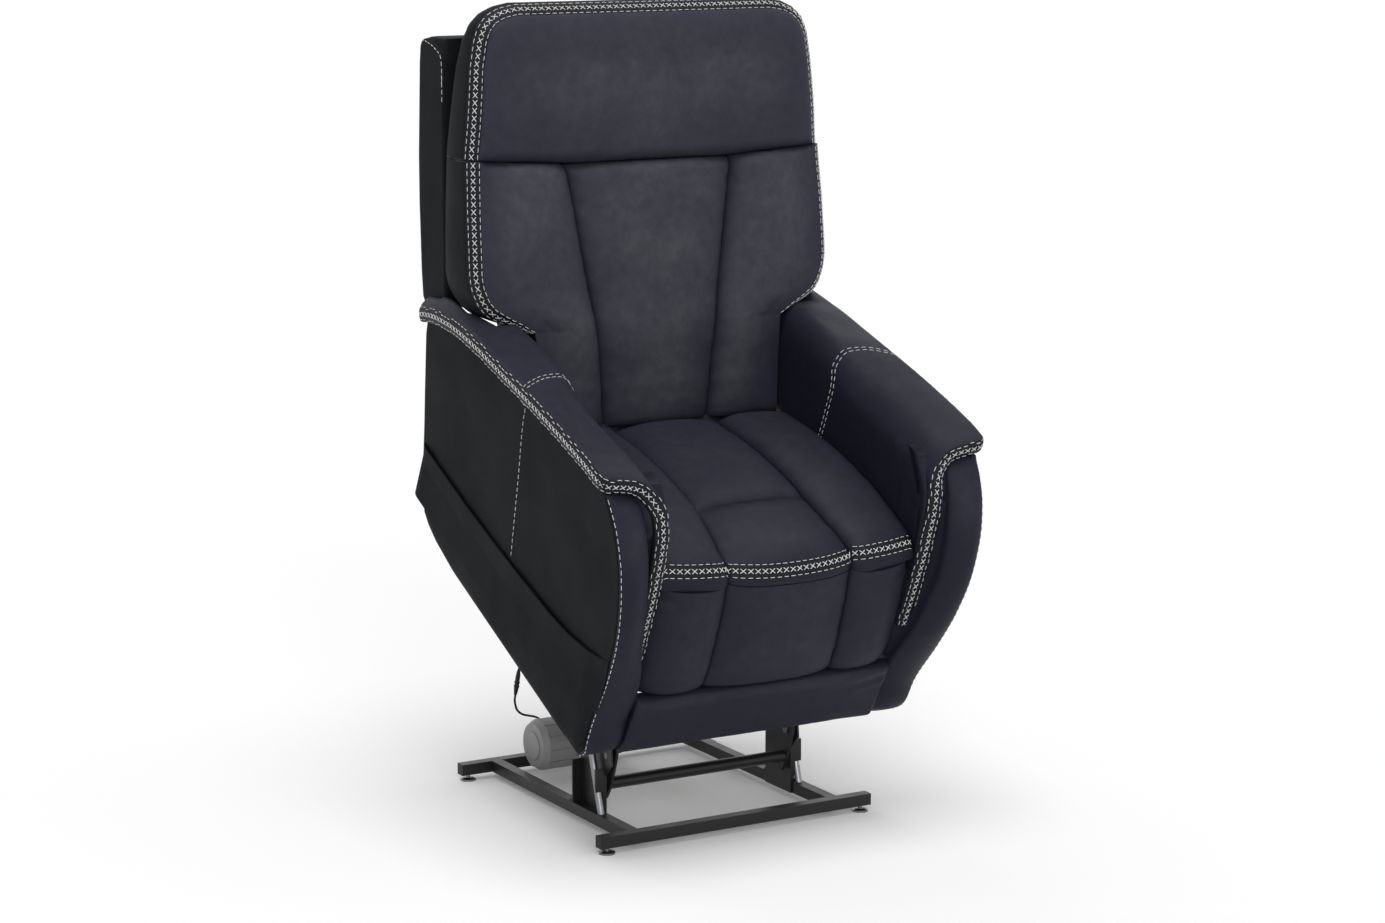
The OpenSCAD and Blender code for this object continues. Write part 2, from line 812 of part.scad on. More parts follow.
// The pad on the sitter's left arm
module arm_top_pad() {
    // The rear face is split so that its inner part stays on the swing of the wings
    rear = [
        [1, 2, 3], [1, 3, 4], [0, 1, 4], [0, 4, 5], [0, 5, 6], [17, 0, 6], [17, 6, 7], [16, 17, 7],
        [16, 7, 8], [16, 8, 9], [15, 16, 9], [15, 9, 10], [15, 10, 11], [14, 15, 11], [14, 11, 12],
        [14, 12, 13]
    ];
    ys = [-150, -138, -125, -110, -40, 40, 130, 220, 315, 385, 456, 530, 596, 628, 660, 690, 716];
    loft([
        for (y = ys)
            let (
                low = along(y, arm_top),
                top = low + band_h + (y < -145 ? -8 : y < -130 ? -2 : 0),
                x = outer_x(low) + pad_over,
                crown = arm_crown * (y < -130 ? 0.3 : y < -100 ? 0.8 : y > 640 ? 0.4 : 1),
                under = y < -100 ? 6 : 40,
                seat = arm_in + 1 + board_t
            )
            [
                for (p = [
                    [x - 22, low + 0.4], [x - 4, low + 1], [x, low + band_h * 0.5], [x - 3, top - 3],
                    [wing_x + 6, top + 1], [wing_x + 3.5, top + 1], [395, top + crown * 0.8],
                    [370, top + crown], [348, top + crown * 0.4], [330, top - 22], [317, top - 62],
                    [arm_in + 3, top - 115], [arm_in + 1, arm_foot + 20], [arm_in + 1, arm_foot],
                    [seat, arm_foot], [seat, min(low - 130, 832)], [340, low - under], [380, low - 4]
                ])
                tucked([p[0], y, p[1]])
            ]
    ], rear);
}

module arm_top_pad_left() {
    color(leather) chair() arm_top_pad();
}

module arm_top_pad_right() {
    color(leather) chair() mirror([1, 0, 0]) arm_top_pad();
}

// ---------- pocket and handset ----------

module side_pocket() {
    skin = 4;
    color(leather) chair() on_side(-1) difference() {
        plate(-pocket_lip - skin, pocket_lip + skin) polygon([
            [-233, 636], [-226, 545], [-208, 400], [-190, 378], [-140, 352],
            [425, 352], [540, 366], [588, 392], [620, 475], [634, 549], [393, 550],
            [190, 559], [-4, 574], [-183, 612]
        ]);
        plate(-pocket_lip, pocket_lip + 1) pocket_inside();
        plate(-pocket_lip, pocket_lip + 1) polygon([[-160, 559], [560, 548], [560, 700], [-160, 700]]);
    }
}

hand_t = 13;
hand_low = [120, 404 + gap];
hand_face = pocket_deep - gap - hand_t;
button_d = 13;
button_l = 4;
button_well = press + 1.7;

module handset() {
    color(black) chair() on_side(-1) difference() {
        plate(hand_face, hand_t) translate(hand_low) union() {
            translate([hand_w / 2, 0]) square([hand_l - hand_w, hand_w]);
            for (y = [hand_w / 2, hand_l - hand_w / 2])
                hole([y, hand_w / 2], hand_w);
        }
        for (i = [0:3])
            rod(button_at(i), hand_face - 1, button_well + 1, button_d + 2 * gap);
    }
}

// Button i along the handset, in [y, z]
function button_at(i) = hand_low + [hand_w / 2 + i * (hand_l - hand_w) / 3, hand_w / 2];

module button(i) {
    x = hand_face + button_well - press - button_l;
    color(grey) chair() on_side(-1) rod(button_at(i), x, button_l, button_d);
}

module button_up() {
    button(0);
}

module button_down() {
    button(1);
}

module button_recline() {
    button(2);
}

module button_footrest() {
    button(3);
}

// ---------- seat cushion ----------

// Seam between the channels at chair depth y
function seam_x(y) = mid_w / 2 - 17 * min(1, max(0, (y + 202) / 176));

function seat_top(x, y) =
    let (
        line = along(y, [[-202, -22], [-150, -9], [-26, 0], [100, -8], [220, -28], [345, -59]]),
        s = seam_x(y),
        side = abs(x) > s,
        t = side ? (abs(x) - s) / (arm_in - s) : abs(x) / s,
        crown = side ? 14 * sin(180 * min(1, t * 0.8)) : 12 * (1 - t * t),
        cross_seam = side ? 0 : channel * 0.8 * bell(y, -26, 12)
    )
    seat_z + line + crown - channel * 0.6 * bell(abs(x), s, 9) - cross_seam
        - 10 * pow(abs(x) / arm_in, 10);

module seat_cushion() {
    half = arm_in - 0.5;
    xs = [
        for (t = [
            -1, -0.96, -0.86, -0.72, -0.58, -0.51, -0.48, -0.45, -0.42, -0.36, -0.2, 0, 0.2, 0.36,
            0.42, 0.45, 0.48, 0.51, 0.58, 0.72, 0.86, 0.96, 1
        ]) t * half
    ];
    ys = [-200, -192, -170, -120, -60, -38, -26, -14, 20, 90, 180, 270, 330, 344];
    bottom = seat_z - seat_t;
    color(leather) chair()
        loft_x(xs, function (x) concat(
            [[340, bottom], [-186, bottom], [-191, seat_z - 60], [-198, seat_z - 34]],
            [for (y = ys) [y, seat_top(x, y) - (y < -196 ? 9 : y > 340 ? 8 : 0)]]
        ));
}

// ---------- back ----------

// Height a share u of the way up the headrest
function head_z(u) = crease_z + u * (back_top - crease_z);
function back_front(z) = crease_deep * bell(z, crease_z, 14) + along(z, [
    [back_low, 6], [900, 6], [1000, 12], [1100, 26], [1250, 44], [crease_z, back_y],
    [head_z(0.31), back_y - 14], [head_z(0.68), back_y - 12], [head_z(0.9), back_y],
    [back_top, back_y + 24]
]);
function back_rear(z) = along(z, [
    [back_low, 70], [950, 121], [1093, 188], [1110, shell_y - gap], [crease_z, 174], [back_top, 154]
]);
// Front rim and lower edge of the rear shell
shell_y = 196;
shell_low = 1084;
// Lowest height that the wings reach at x
function wing_z(x) = recline_pivot[1] + swing_r(x) + 2;
// Half width of the back at height z
function back_half(z) = along(z, [
    [back_low, waist_x], [1048, waist_x + 2], [1053, 340], [1079, 385], [1094, 408], [1110, wing_x],
    [1300, wing_x], [crease_z, wing_x - 4], [head_z(0.62), wing_x - 20], [head_z(0.87), top_x],
    [head_z(0.97), top_x - 22], [back_top, top_x - 60]
]);
crease_deep = 22;
// Underside of the back cushion
back_low = 828;
// The headrest turns about the bottom of the crease under it
crease_pivot = [back_y + crease_deep - 1, crease_z];
// Seam beside the middle channel of the back
function back_seam(z) = along(z, [[back_low, 128], [950, 138], [1200, 172], [1399, 202]]);

function back_skin(u, z) =
    let (
        half = back_half(z),
        x = u * half,
        s = back_seam(z),
        low = z < crease_z,
        side = abs(x) > s,
        t = side ? (abs(x) - s) / max(1, half - s) : abs(x) / s,
        crown = side ? 20 * sin(180 * min(1, 0.1 + t * 0.8)) : 24 * (1 - t * t),
        full = low ? crown - channel * bell(abs(x), s, 10) : 26 * (1 - pow(u, 4)),
        fade = min(1, 0.6 + 0.4 * (z - back_low) / 60) * min(1, max(0, (abs(z - crease_z) - 1) / 40)),
        edge = 24 * pow(abs(u), 14)
    )
    [x, back_front(z) - full * fade + edge, z];

back_us = [
    -1, -0.97, -0.9, -0.8, -0.7, -0.6, -0.53, -0.49, -0.46, -0.42, -0.36, -0.2, 0, 0.2, 0.36, 0.42,
    0.46, 0.49, 0.53, 0.6, 0.7, 0.8, 0.9, 0.97, 1
];

module back_cushion() {
    zs = [
        back_low, back_low + 6, 850, 880, 930, 990, 1048, 1053, 1079, 1094, 1110, 1180, 1260,
        crease_z - 70, crease_z - 30, crease_z - 10, crease_z - gap
    ];
    color(leather) floor_frame()
        loft([
            for (z = backwards(zs)) concat(
                [for (u = back_us) back_skin(u, z)],
                [[back_half(z), back_rear(z), z], [-back_half(z), back_rear(z), z]]
            )
        ]);
}

module headrest_cushion() {
    zs = [
        for (u = [0.001, 0.025, 0.08, 0.19, 0.37, 0.56, 0.71, 0.82, 0.9, 0.95, 0.98, 1])
            head_z(u)
    ];
    color(leather) floor_frame()
        loft([
            for (z = backwards(zs)) concat(
                [for (u = [-1, -0.97, -0.9, -0.75, -0.5, -0.25, 0, 0.25, 0.5, 0.75, 0.9, 0.97, 1])
                    back_skin(u, z)],
                [[back_half(z), back_rear(z) - 14, z], [-back_half(z), back_rear(z) - 14, z]]
            )
        ]);
}

module back_uprights() {
    x = 277;
    w = 14;
    color(wood) floor_frame() both() difference() {
        plate(x, w) union() {
            bar(recline_pivot, [212, 1110], 17, 13);
            bar([212, 1110], [212, shell_top - 42], 13, 13);
        }
        rod(recline_pivot, x - 1, w + 2, 12 + 2 * run_gap);
    }
}

// Height of the rail that carries the headrest guides
guide_rail = 1262;
back_rail_h = 40;

module back_rails() {
    x = 277;
    color(wood) floor_frame()
        for (z = [1110, guide_rail, shell_top - 72])
            block([-x, 201, z], [x, 223, z + back_rail_h]);
}

module back_shell() {
    outer = [
        [shell_low, 326], [1150, 336], [crease_z, 342], [shell_top - 42, 330], [shell_top, 306]
    ];
    color(leather) floor_frame() difference() {
        plate(-wing_x, 2 * wing_x)
            polygon(concat(
                [for (p = outer) [p[1], p[0]]], [[shell_y, shell_top], [shell_y, shell_low]]
            ));
        plate(-wing_x + shell_t, 2 * (wing_x - shell_t))
            polygon(concat(
                [[outer[0][1] - shell_t, shell_low - 1]],
                [for (p = outer) [p[1] - shell_t, min(p[0], shell_top - shell_t)]],
                [[shell_y - 1, shell_top - shell_t], [shell_y - 1, shell_low - 1]]
            ));
    }
}

module headrest_board() {
    low = crease_z + 6;
    high = back_top - 82;
    color(wood) floor_frame()
        plate(-330, 660) polygon([
            [back_rear(low) - 13.7, low], [back_rear(low) - 2, low], [back_rear(high) - 2, high],
            [back_rear(high) - 13.7, high]
        ]);
}

arc_x = 200;
arc_t = 4;
arc_r = 137;
arc_w = 18;
guide_a = -14;

module headrest_arcs() {
    low = -30;
    high = 16;
    root = 4;
    outside = arc_r + arc_w / 2;
    inside = arc_r - arc_w / 2;
    color(black) floor_frame() both()
        plate(arc_x, arc_t) union() {
            intersection() {
                difference() {
                    translate(crease_pivot) circle(r = outside, $fn = 180);
                    translate(crease_pivot) circle(r = inside, $fn = 180);
                }
                polygon(concat(
                    [crease_pivot],
                    [for (a = [low, (low + high) / 2, high]) polar(crease_pivot, 2 * arc_r, a)]
                ));
            }
            // Foot that bolts to the headrest board
            polygon([
                polar(crease_pivot, outside - 0.3, high), polar(crease_pivot, outside - 0.3, root),
                polar(crease_pivot, inside, root), [back_rear(head_z(0.06)) - 2, head_z(0.06)],
                [back_rear(head_z(0.31)) - 2, head_z(0.31)]
            ]);
        }
}

module headrest_guides() {
    roller = 16;
    reach = arc_w / 2 + gap + roller / 2;
    color(black) floor_frame() both() {
        plate(arc_x + arc_t + 1, 4) polygon([
            polar(crease_pivot, arc_r - reach - 6, guide_a + 5),
            polar(crease_pivot, arc_r + reach + 8, guide_a + 5),
            [223, guide_rail + back_rail_h], [201, guide_rail + back_rail_h]
        ]);
        for (r = [arc_r - reach, arc_r + reach])
            rod(polar(crease_pivot, r, guide_a), arc_x - 1, arc_t + 2, roller);
    }
}

// ---------- small actuators ----------

// Housing with its motor on side s and its tube towards to
module small_motor(from, to, x, s, reach) {
    a = heading(from, to);
    difference() {
        union() {
            rod(from, x - eye_w / 2, eye_w, 26);
            actuator(from, to, x) translate([8, 0, 0]) rotate([0, 90, 0])
                cylinder(h = 30, d = eye_w, $fn = 32);
            actuator(from, to, x) translate([20, 0, 0]) rotate([0, 90, 0])
                cylinder(h = 56, d = 46, $fn = 48);
            actuator(from, to, x) translate([70, 0, 0]) rotate([0, 90, 0])
                cylinder(h = reach - 70, d = 30, $fn = 48);
            rod(polar(from, 48, a), s > 0 ? x : x - 92, 92, 42);
        }
        rod(from, x - eye_w, 2 * eye_w, 10 + 2 * run_gap);
        actuator(from, to, x) translate([84, 0, 0]) rotate([0, 90, 0])
            cylinder(h = reach, d = small_rod_d + 2 * run_gap, $fn = 48);
    }
}

module small_rod(from, to, x, start) {
    actuator(from, to, x) translate([start, 0, 0]) rotate([0, 90, 0])
        cylinder(h = norm(to - from) - start - 8, d = small_rod_d, $fn = 48);
    rod(to, x - eye_w / 2, eye_w, 26);
}

// Two ears on a cross tube at bar that take the rod eye at pin
module ears(bar_at, pin, x, d) {
    ear = 4;
    for (s = [-1, 1])
        translate([x + s * (eye_w / 2 + gap + ear / 2) - ear / 2, 0, 0]) {
            plate(0, ear) difference() {
                bar(bar_at, pin, d / 2 + 4, 12);
                hole(bar_at, d);
            }
            rod(pin, s > 0 ? ear : -3, 3, 16);
        }
}

recline_crank_x = 271.5;
recline_crank_t = 5;

module recline_crank() {
    color(black) chair() {
        both() plate(recline_crank_x, recline_crank_t) difference() {
            union() {
                bar(hinge, recline_bar, 16, 15);
                polygon([hinge + [16, 0], hinge + [-16, 0], hinge + [20, 40], hinge + [34, 44]]);
            }
            hole(hinge, 12 + 2 * run_gap);
        }
        rod(recline_bar, -recline_crank_x, 2 * recline_crank_x, small_bar_d);
        ears(recline_bar, recline_arm, recline_x, small_bar_d);
    }
}

module recline_motor() {
    color(black) chair() small_motor(recline_from, recline_arm, recline_x, -1, 245);
}

module recline_rod() {
    color(zinc) chair() small_rod(recline_from, recline_arm, recline_x, 150);
}

// ---------- footrest ----------

module footrest_rear_links() {
    color(black) chair() both() {
        plate(foot_link_x, link_t) difference() {
            union() {
                bar(foot_s, foot_e, 14, 13);
                bar(foot_s, foot_bar, 14, 14);
            }
            hole(foot_s, 12 + 2 * run_gap);
        }
        rod(foot_e, foot_link_x + link_t, link_t + 2, 12);
    }
}

module footrest_front_links() {
    color(black) chair() both()
        plate(foot_link_x + link_t + 0.5, link_t) difference() {
            bar(foot_e, foot_f, 13, 13);
            hole(foot_e, 12 + 2 * run_gap);
            hole(foot_f, 12 + 2 * run_gap);
        }
}

module footrest_brackets() {
    color(black) chair() both() {
        plate(foot_link_x, link_t)
            polygon([
                [-190, 560], [-178, 560], foot_f + [12, -10], foot_f + [12, 10], [-178, 676], [-190, 676]
            ]);
        rod(foot_f, foot_link_x + link_t, link_t + 2, 12);
    }
}

module footrest_board() {
    color(wood) chair() block([-285, -202, 528], [285, -190, 676]);
}

module footrest_pad() {
    half = arm_in - 2;
    xs = [
        for (t = [
            -1, -0.97, -0.88, -0.74, -0.6, -0.54, -0.49, -0.44, -0.38, -0.2, 0, 0.2, 0.38, 0.44,
            0.49, 0.54, 0.6, 0.74, 0.88, 0.97, 1
        ]) t * half
    ];
    low = foot_pad_top - foot_pad_h;
    profile = [
        [1, 0.08], [0.985, 0.3], [0.94, 0.6], [0.85, 0.86], [0.7, 0.98], [0.5, 1], [0.3, 0.97],
        [0.16, 0.9], [0.06, 0.7], [0.01, 0.4], [0, 0.1]
    ];
    color(leather) chair()
        loft_x(backwards(xs), function (x)
            let (
                s = mid_w / 2,
                groove = 0.42 * bell(abs(x), s, 12),
                t = abs(x) > s ? (abs(x) - s) / (half - s) : abs(x) / s,
                round_off = 1 - 0.12 * t * t - (abs(x) > s ? 0.25 * pow(t, 6) : 0)
            )
            concat(
                [[-202.3, low + 2], [-202.3, foot_pad_top - 1]],
                [for (p = profile)
                    [-204 - foot_pad_t * p[1] * (round_off - groove), low + foot_pad_h * p[0]]]
            ));
}

module footrest_cross_tube() {
    color(black) chair() {
        rod(foot_bar, -foot_link_x, 2 * foot_link_x, small_bar_d);
        ears(foot_bar, foot_crank, foot_x, small_bar_d);
    }
}

module footrest_motor() {
    color(black) chair() small_motor(foot_motor, foot_crank, foot_x, 1, 315);
}

module footrest_rod() {
    color(zinc) chair() small_rod(foot_motor, foot_crank, foot_x, 95);
}

floor_rails();
side_rails();
rail_end_caps();
levelling_feet();
towers();
tower_braces();
tower_pins();
actuator_bracket();
front_links();
torque_tube();
lift_cross_tube();
rear_links();
lift_motor();
lift_gearbox();
lift_tube();
lift_rod();
motor_lead();
lead_connector();
linkage_plates();
seat_side_rails();
seat_cross_rails();
actuator_clevises();
frame_pins();
seat_springs();
control_box();
front_panel();
arm_boards();
arm_blocks();
arm_bolts();
arm_side_panel_left();
arm_side_panel_right();
arm_front_pads();
arm_top_pad_left();
arm_top_pad_right();
side_pocket();
handset();
button_up();
button_down();
button_recline();
button_footrest();
seat_cushion();
back_uprights();
back_rails();
back_cushion();
back_shell();
headrest_board();
headrest_arcs();
headrest_guides();
headrest_cushion();
recline_crank();
recline_motor();
recline_rod();
footrest_rear_links();
footrest_cross_tube();
footrest_front_links();
footrest_board();
footrest_brackets();
footrest_pad();
footrest_motor();
footrest_rod();
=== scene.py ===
"""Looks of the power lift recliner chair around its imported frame.

Lengths are in millimetres unless a comment says otherwise. Points of the chair are in its own level frame, which
chair() brings to where the raised lift holds it. Those of the back and the base are upright as they stand.
"""
import itertools
import json
import math

import bmesh
import bpy
import numpy as np
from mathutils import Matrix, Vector
from mathutils.bvhtree import BVHTree


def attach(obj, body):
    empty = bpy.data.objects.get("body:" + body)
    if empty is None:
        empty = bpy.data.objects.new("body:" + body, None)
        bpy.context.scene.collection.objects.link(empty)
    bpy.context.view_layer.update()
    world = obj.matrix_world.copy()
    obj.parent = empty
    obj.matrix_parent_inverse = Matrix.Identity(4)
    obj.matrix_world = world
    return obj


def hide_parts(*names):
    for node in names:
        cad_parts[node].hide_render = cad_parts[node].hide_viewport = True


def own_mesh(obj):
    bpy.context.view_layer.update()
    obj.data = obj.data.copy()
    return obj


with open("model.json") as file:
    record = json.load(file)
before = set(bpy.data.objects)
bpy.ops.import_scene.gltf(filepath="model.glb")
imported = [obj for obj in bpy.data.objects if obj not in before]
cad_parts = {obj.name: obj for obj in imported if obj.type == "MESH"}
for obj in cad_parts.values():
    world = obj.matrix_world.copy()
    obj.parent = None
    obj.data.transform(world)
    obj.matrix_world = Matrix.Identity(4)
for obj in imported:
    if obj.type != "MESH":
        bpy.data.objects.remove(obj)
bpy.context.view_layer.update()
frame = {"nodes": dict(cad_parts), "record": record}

ORIGIN_Y = 114.0
TILT = math.radians(26)
LEAN = math.tan(math.radians(4.86))
RNG = np.random.default_rng(11)
LATTICE = RNG.random((32, 32, 32))
# Steps of a smooth curve between two of its corners, and of a solid's end that is drawn in
CURVE_STEPS, END_STEPS = 8, 5


# ---------- camera ----------

FOCAL_PX, PICTURE_WIDTH_PX, SENSOR = 3357.93, 1385, 36
# Place in metres, then the angles in degrees by which the camera looks down and is turned
CAMERA_AT = (-3.52315, (-6201.15 + ORIGIN_Y) / 1000, 2.05884)
CAMERA_DOWN, CAMERA_TURN = 10.4318, -30.1615


def placed(name, data):
    """A new object in the scene."""
    obj = bpy.data.objects.new(name, data)
    bpy.context.scene.collection.objects.link(obj)
    return obj


def make_camera():
    data = bpy.data.cameras.new("Camera")
    data.sensor_width = SENSOR
    data.lens = FOCAL_PX / PICTURE_WIDTH_PX * data.sensor_width
    data.clip_end = 60
    cam = placed("Camera", data)
    cam.location = CAMERA_AT
    cam.rotation_euler = (math.radians(90 - CAMERA_DOWN), 0, math.radians(CAMERA_TURN))
    bpy.context.scene.camera = cam


make_camera()


# ---------- numbers and shapes ----------

def chair(p):
    """Points of the chair, in its own frame, where the raised chair holds them, in metres."""
    p = np.asarray(p, float)
    c, s = math.cos(TILT), math.sin(TILT)
    y = p[..., 1] * c - p[..., 2] * s + ORIGIN_Y
    z = p[..., 1] * s + p[..., 2] * c
    return np.stack([p[..., 0], y, z], -1) / 1000


def upright(p):
    """Points of the raised back or of the base, in metres."""
    return (np.asarray(p, float) + [0, ORIGIN_Y, 0]) / 1000


def points(x, y, z):
    """Points from coordinates that are arrays or single values."""
    return np.stack(np.broadcast_arrays(x, y, z), -1).astype(float)


def unit(v):
    """Vectors brought to length 1."""
    return v / np.maximum(np.linalg.norm(v, axis=-1, keepdims=True), 1e-9)


def along(x, table):
    """Straight lines through a table of (place, value)."""
    t = np.array(table, float)
    return np.interp(x, t[:, 0], t[:, 1])


def smooth_along(x, table):
    """Like along, but as a smooth curve through the points."""
    t = np.array(table, float)
    slope = np.gradient(t[:, 1], t[:, 0])
    x = np.clip(x, t[0, 0], t[-1, 0])
    i = np.clip(np.searchsorted(t[:, 0], x, side="right") - 1, 0, len(t) - 2)
    h = t[i + 1, 0] - t[i, 0]
    u = (x - t[i, 0]) / h
    return (
        (2 * u**3 - 3 * u**2 + 1) * t[i, 1] + (u**3 - 2 * u**2 + u) * h * slope[i]
        + (-2 * u**3 + 3 * u**2) * t[i + 1, 1] + (u**3 - u**2) * h * slope[i + 1]
    )


def held(v):
    """Values kept from 0 to 1."""
    return np.clip(v, 0, 1)


def bell(x, centre, width):
    """1 at the centre, falling off smoothly on both sides."""
    return np.exp(-((x - centre) / width) ** 2)


def noise(p, size):
    """Smooth noise from -1 to 1 with features of the given size."""
    q = np.asarray(p, float) / size + 100.5
    i = np.floor(q).astype(int)
    f = q - i
    f = f * f * (3 - 2 * f)
    out = 0
    for corner in itertools.product((0, 1), repeat=3):
        share = np.prod(np.where(corner, f, 1 - f), axis=-1)
        out = out + share * LATTICE[tuple(np.moveaxis((i + corner) % len(LATTICE), -1, 0))]
    return out * 2 - 1


def round_over(d, r):
    """How far a surface with an edge radius r lies back at distance d from its outline."""
    d = np.clip(d, 0, r)
    return r - np.sqrt(np.maximum(r * r - (r - d) ** 2, 0))


def lobe(t, power=2.6):
    """Height of a stuffed channel across t from -1 to 1, with a crease at both ends."""
    return np.sqrt(np.maximum(1 - np.abs(t) ** power, 0))


def side_lobe(t, rise=0.34, fall=0.4):
    """Height of an outer channel, from the seam at t = 0 to the cushion's edge at 1."""
    up = lobe(held(1 - t / rise), 2.4)
    return up * (1 - fall * held((t - rise) / (1 - rise)) ** 2)


def eased(n):
    """n steps from 0 to 1 that crowd at the ends."""
    return 0.5 - 0.5 * np.cos(np.pi * np.linspace(0, 1, n))


def channel_x(seam, half, n_side, n_mid):
    """Places across three channels whose seams lie at -seam and seam, crowded at the seams and edges."""
    side = seam + (half - seam) * eased(n_side)
    return np.concatenate([-side[::-1], seam * (2 * eased(n_mid) - 1)[1:-1], side])


def spline(corners, per=4):
    """Points of a smooth curve through the given ones."""
    p = np.array(corners, float)
    e = np.concatenate([[2 * p[0] - p[1]], p, [2 * p[-1] - p[-2]]])
    out = []
    for i in range(1, len(e) - 2):
        for t in np.arange(per) / per:
            out.append(0.5 * (
                2 * e[i] + (e[i + 1] - e[i - 1]) * t + (2 * e[i - 1] - 5 * e[i] + 4 * e[i + 1] - e[i + 2]) * t * t
                + (3 * e[i] - e[i - 1] - 3 * e[i + 1] + e[i + 2]) * t**3
            ))
    return np.array(out + [p[-1]])


def lengths(line):
    """How far along a line each of its points lies."""
    return np.concatenate([[0], np.cumsum(np.linalg.norm(np.diff(line, axis=0), axis=1))])


def places(line, at):
    """Points of a line at given lengths along it."""
    s = lengths(line)
    return np.stack([np.interp(at, s, line[:, k]) for k in range(line.shape[1])], 1)


def evenly(line, n):
    """n points at equal distances along a line."""
    return places(line, np.linspace(0, lengths(line)[-1], n))


def resample(corners, n):
    """n points evenly spaced along a smooth curve through the given ones."""
    return evenly(spline(corners, CURVE_STEPS), n)


def line_distance(px, pz, line):
    """Distance of points (px, pz) from a line of corners."""
    d = np.full(np.shape(px), 1e9)
    for (x0, z0), (x1, z1) in zip(line[:-1], line[1:]):
        ex, ez = x1 - x0, z1 - z0
        n = ex * ex + ez * ez
        if n > 1e-9:
            t = held(((px - x0) * ex + (pz - z0) * ez) / n)
            d = np.minimum(d, np.hypot(px - x0 - t * ex, pz - z0 - t * ez))
    return d


def outline_distance(px, pz, outline):
    """Distance of points (px, pz) from a closed outline."""
    return line_distance(px, pz, np.concatenate([outline, outline[:1]]))


def grid_faces(rows, cols, wrap=False, start=0):
    """Faces of a grid of points, closed round its columns where it wraps."""
    out = []
    for i in range(rows - 1):
        for j in range(cols if wrap else cols - 1):
            a, b = start + i * cols + j, start + i * cols + (j + 1) % cols
            out.append((a, b, b + cols, a + cols))
    return out


def add_mesh(name, verts, faces, material_, body, attributes=None):
    """A smooth mesh with its shared corners welded and its faces turned outwards. Lengths in metres."""
    mesh = bpy.data.meshes.new(name)
    mesh.from_pydata([tuple(v) for v in np.asarray(verts, float).reshape(-1, 3)], [], faces)
    for key, values in (attributes or {}).items():
        mesh.attributes.new(key, "FLOAT", "POINT").data.foreach_set("value", np.asarray(values, np.float32).ravel())
    bm = bmesh.new()
    bm.from_mesh(mesh)
    bmesh.ops.remove_doubles(bm, verts=bm.verts, dist=1e-5)
    bmesh.ops.dissolve_degenerate(bm, dist=1e-6, edges=bm.edges)
    bmesh.ops.recalc_face_normals(bm, faces=bm.faces)
    bm.to_mesh(mesh)
    bm.free()
    mesh.polygons.foreach_set("use_smooth", [True] * len(mesh.polygons))
    mesh.materials.append(material_)
    mesh.update()
    obj = placed(name, mesh)
    if body:
        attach(obj, body)
    return obj


def capped(rings, tips):
    """Vertices and faces of a tube through rings of points, closed by a point at each end."""
    m, n = rings.shape[:2]
    faces = grid_faces(m, n, wrap=True)
    for tip, first in ((m * n, 0), (m * n + 1, (m - 1) * n)):
        faces += [(tip, first + (j + 1) % n, first + j) for j in range(n)]
    return np.concatenate([rings.reshape(-1, 3), tips]), faces


def ringed(name, rings, crowns, body):
    """A solid of the chair through closed rings of 2N points, its ends drawn in between point i and its partner."""
    def drawn_in(ring):
        mid = (ring + ring[::-1]) / 2
        return [ring + (mid - ring) * k / END_STEPS for k in range(1, END_STEPS + 1)]

    full = drawn_in(rings[0])[::-1] + rings + drawn_in(rings[-1])
    blank = [crowns[0] * 0] * END_STEPS
    crown = np.concatenate(blank + crowns + blank)
    faces = grid_faces(len(full), len(rings[0]), wrap=True)
    return add_mesh(name, chair(np.concatenate(full)), faces, NAVY, body, {"crown": crown, "band": crown * 0})


# ---------- materials ----------

def material(name, base, roughness, metallic=0.0, **values):
    """A new material and its shader, whose inputs are given with _ for a space."""
    m = bpy.data.materials.new(name)
    m.use_nodes = True
    shader = m.node_tree.nodes["Principled BSDF"]
    values.update(Base_Color=(*base, 1), Roughness=roughness, Metallic=metallic)
    for key, v in values.items():
        shader.inputs[key.replace("_", " ")].default_value = v
    return m, shader


def node(m, kind, inputs=(), **settings):
    """A shader node with its settings, and its inputs linked to sockets or set to values."""
    n = m.node_tree.nodes.new(kind)
    for key, v in settings.items():
        setattr(n, key, v)
    for key, v in dict(inputs).items():
        if isinstance(v, bpy.types.NodeSocket):
            m.node_tree.links.new(v, n.inputs[key])
        else:
            n.inputs[key].default_value = v
    return n


def calc(m, operation, *values, **settings):
    """The result of a sum of sockets and values."""
    return node(m, "ShaderNodeMath", enumerate(values), operation=operation, **settings).outputs[0]


def mixed(m, factor, a, b, **settings):
    return node(m, "ShaderNodeMix", {"Factor": factor, "A": a, "B": b}, data_type="RGBA", **settings).outputs["Result"]


def texture(m, kind, place, scale, **values):
    """A noise, wave or cell texture of a scale at a place."""
    settings = {k: values.pop(k) for k in ("feature",) if k in values}
    return node(m, "ShaderNodeTex" + kind, {"Vector": place, "Scale": scale, **values}, **settings)


def bumped(m, shader, height, strength, distance):
    """Gives a material's shader small relief from a height."""
    bump = node(m, "ShaderNodeBump", {"Height": height, "Strength": strength, "Distance": distance})
    m.node_tree.links.new(bump.outputs["Normal"], shader.inputs["Normal"])


def object_place(m):
    return node(m, "ShaderNodeTexCoord").outputs["Object"]


def ramp(m, source, low, low_colour, high, high_colour):
    """A colour or grey that runs from one value at low to another at high."""
    r = node(m, "ShaderNodeValToRGB", {"Fac": source})
    for stop, place, colour in zip(r.color_ramp.elements, (low, high), (low_colour, high_colour)):
        stop.position = place
        stop.color = (*colour, 1) if isinstance(colour, tuple) else (colour, colour, colour, 1)
    return r.outputs["Color"]


BAND_TONE = (0.0085, 0.0092, 0.0105, 1)


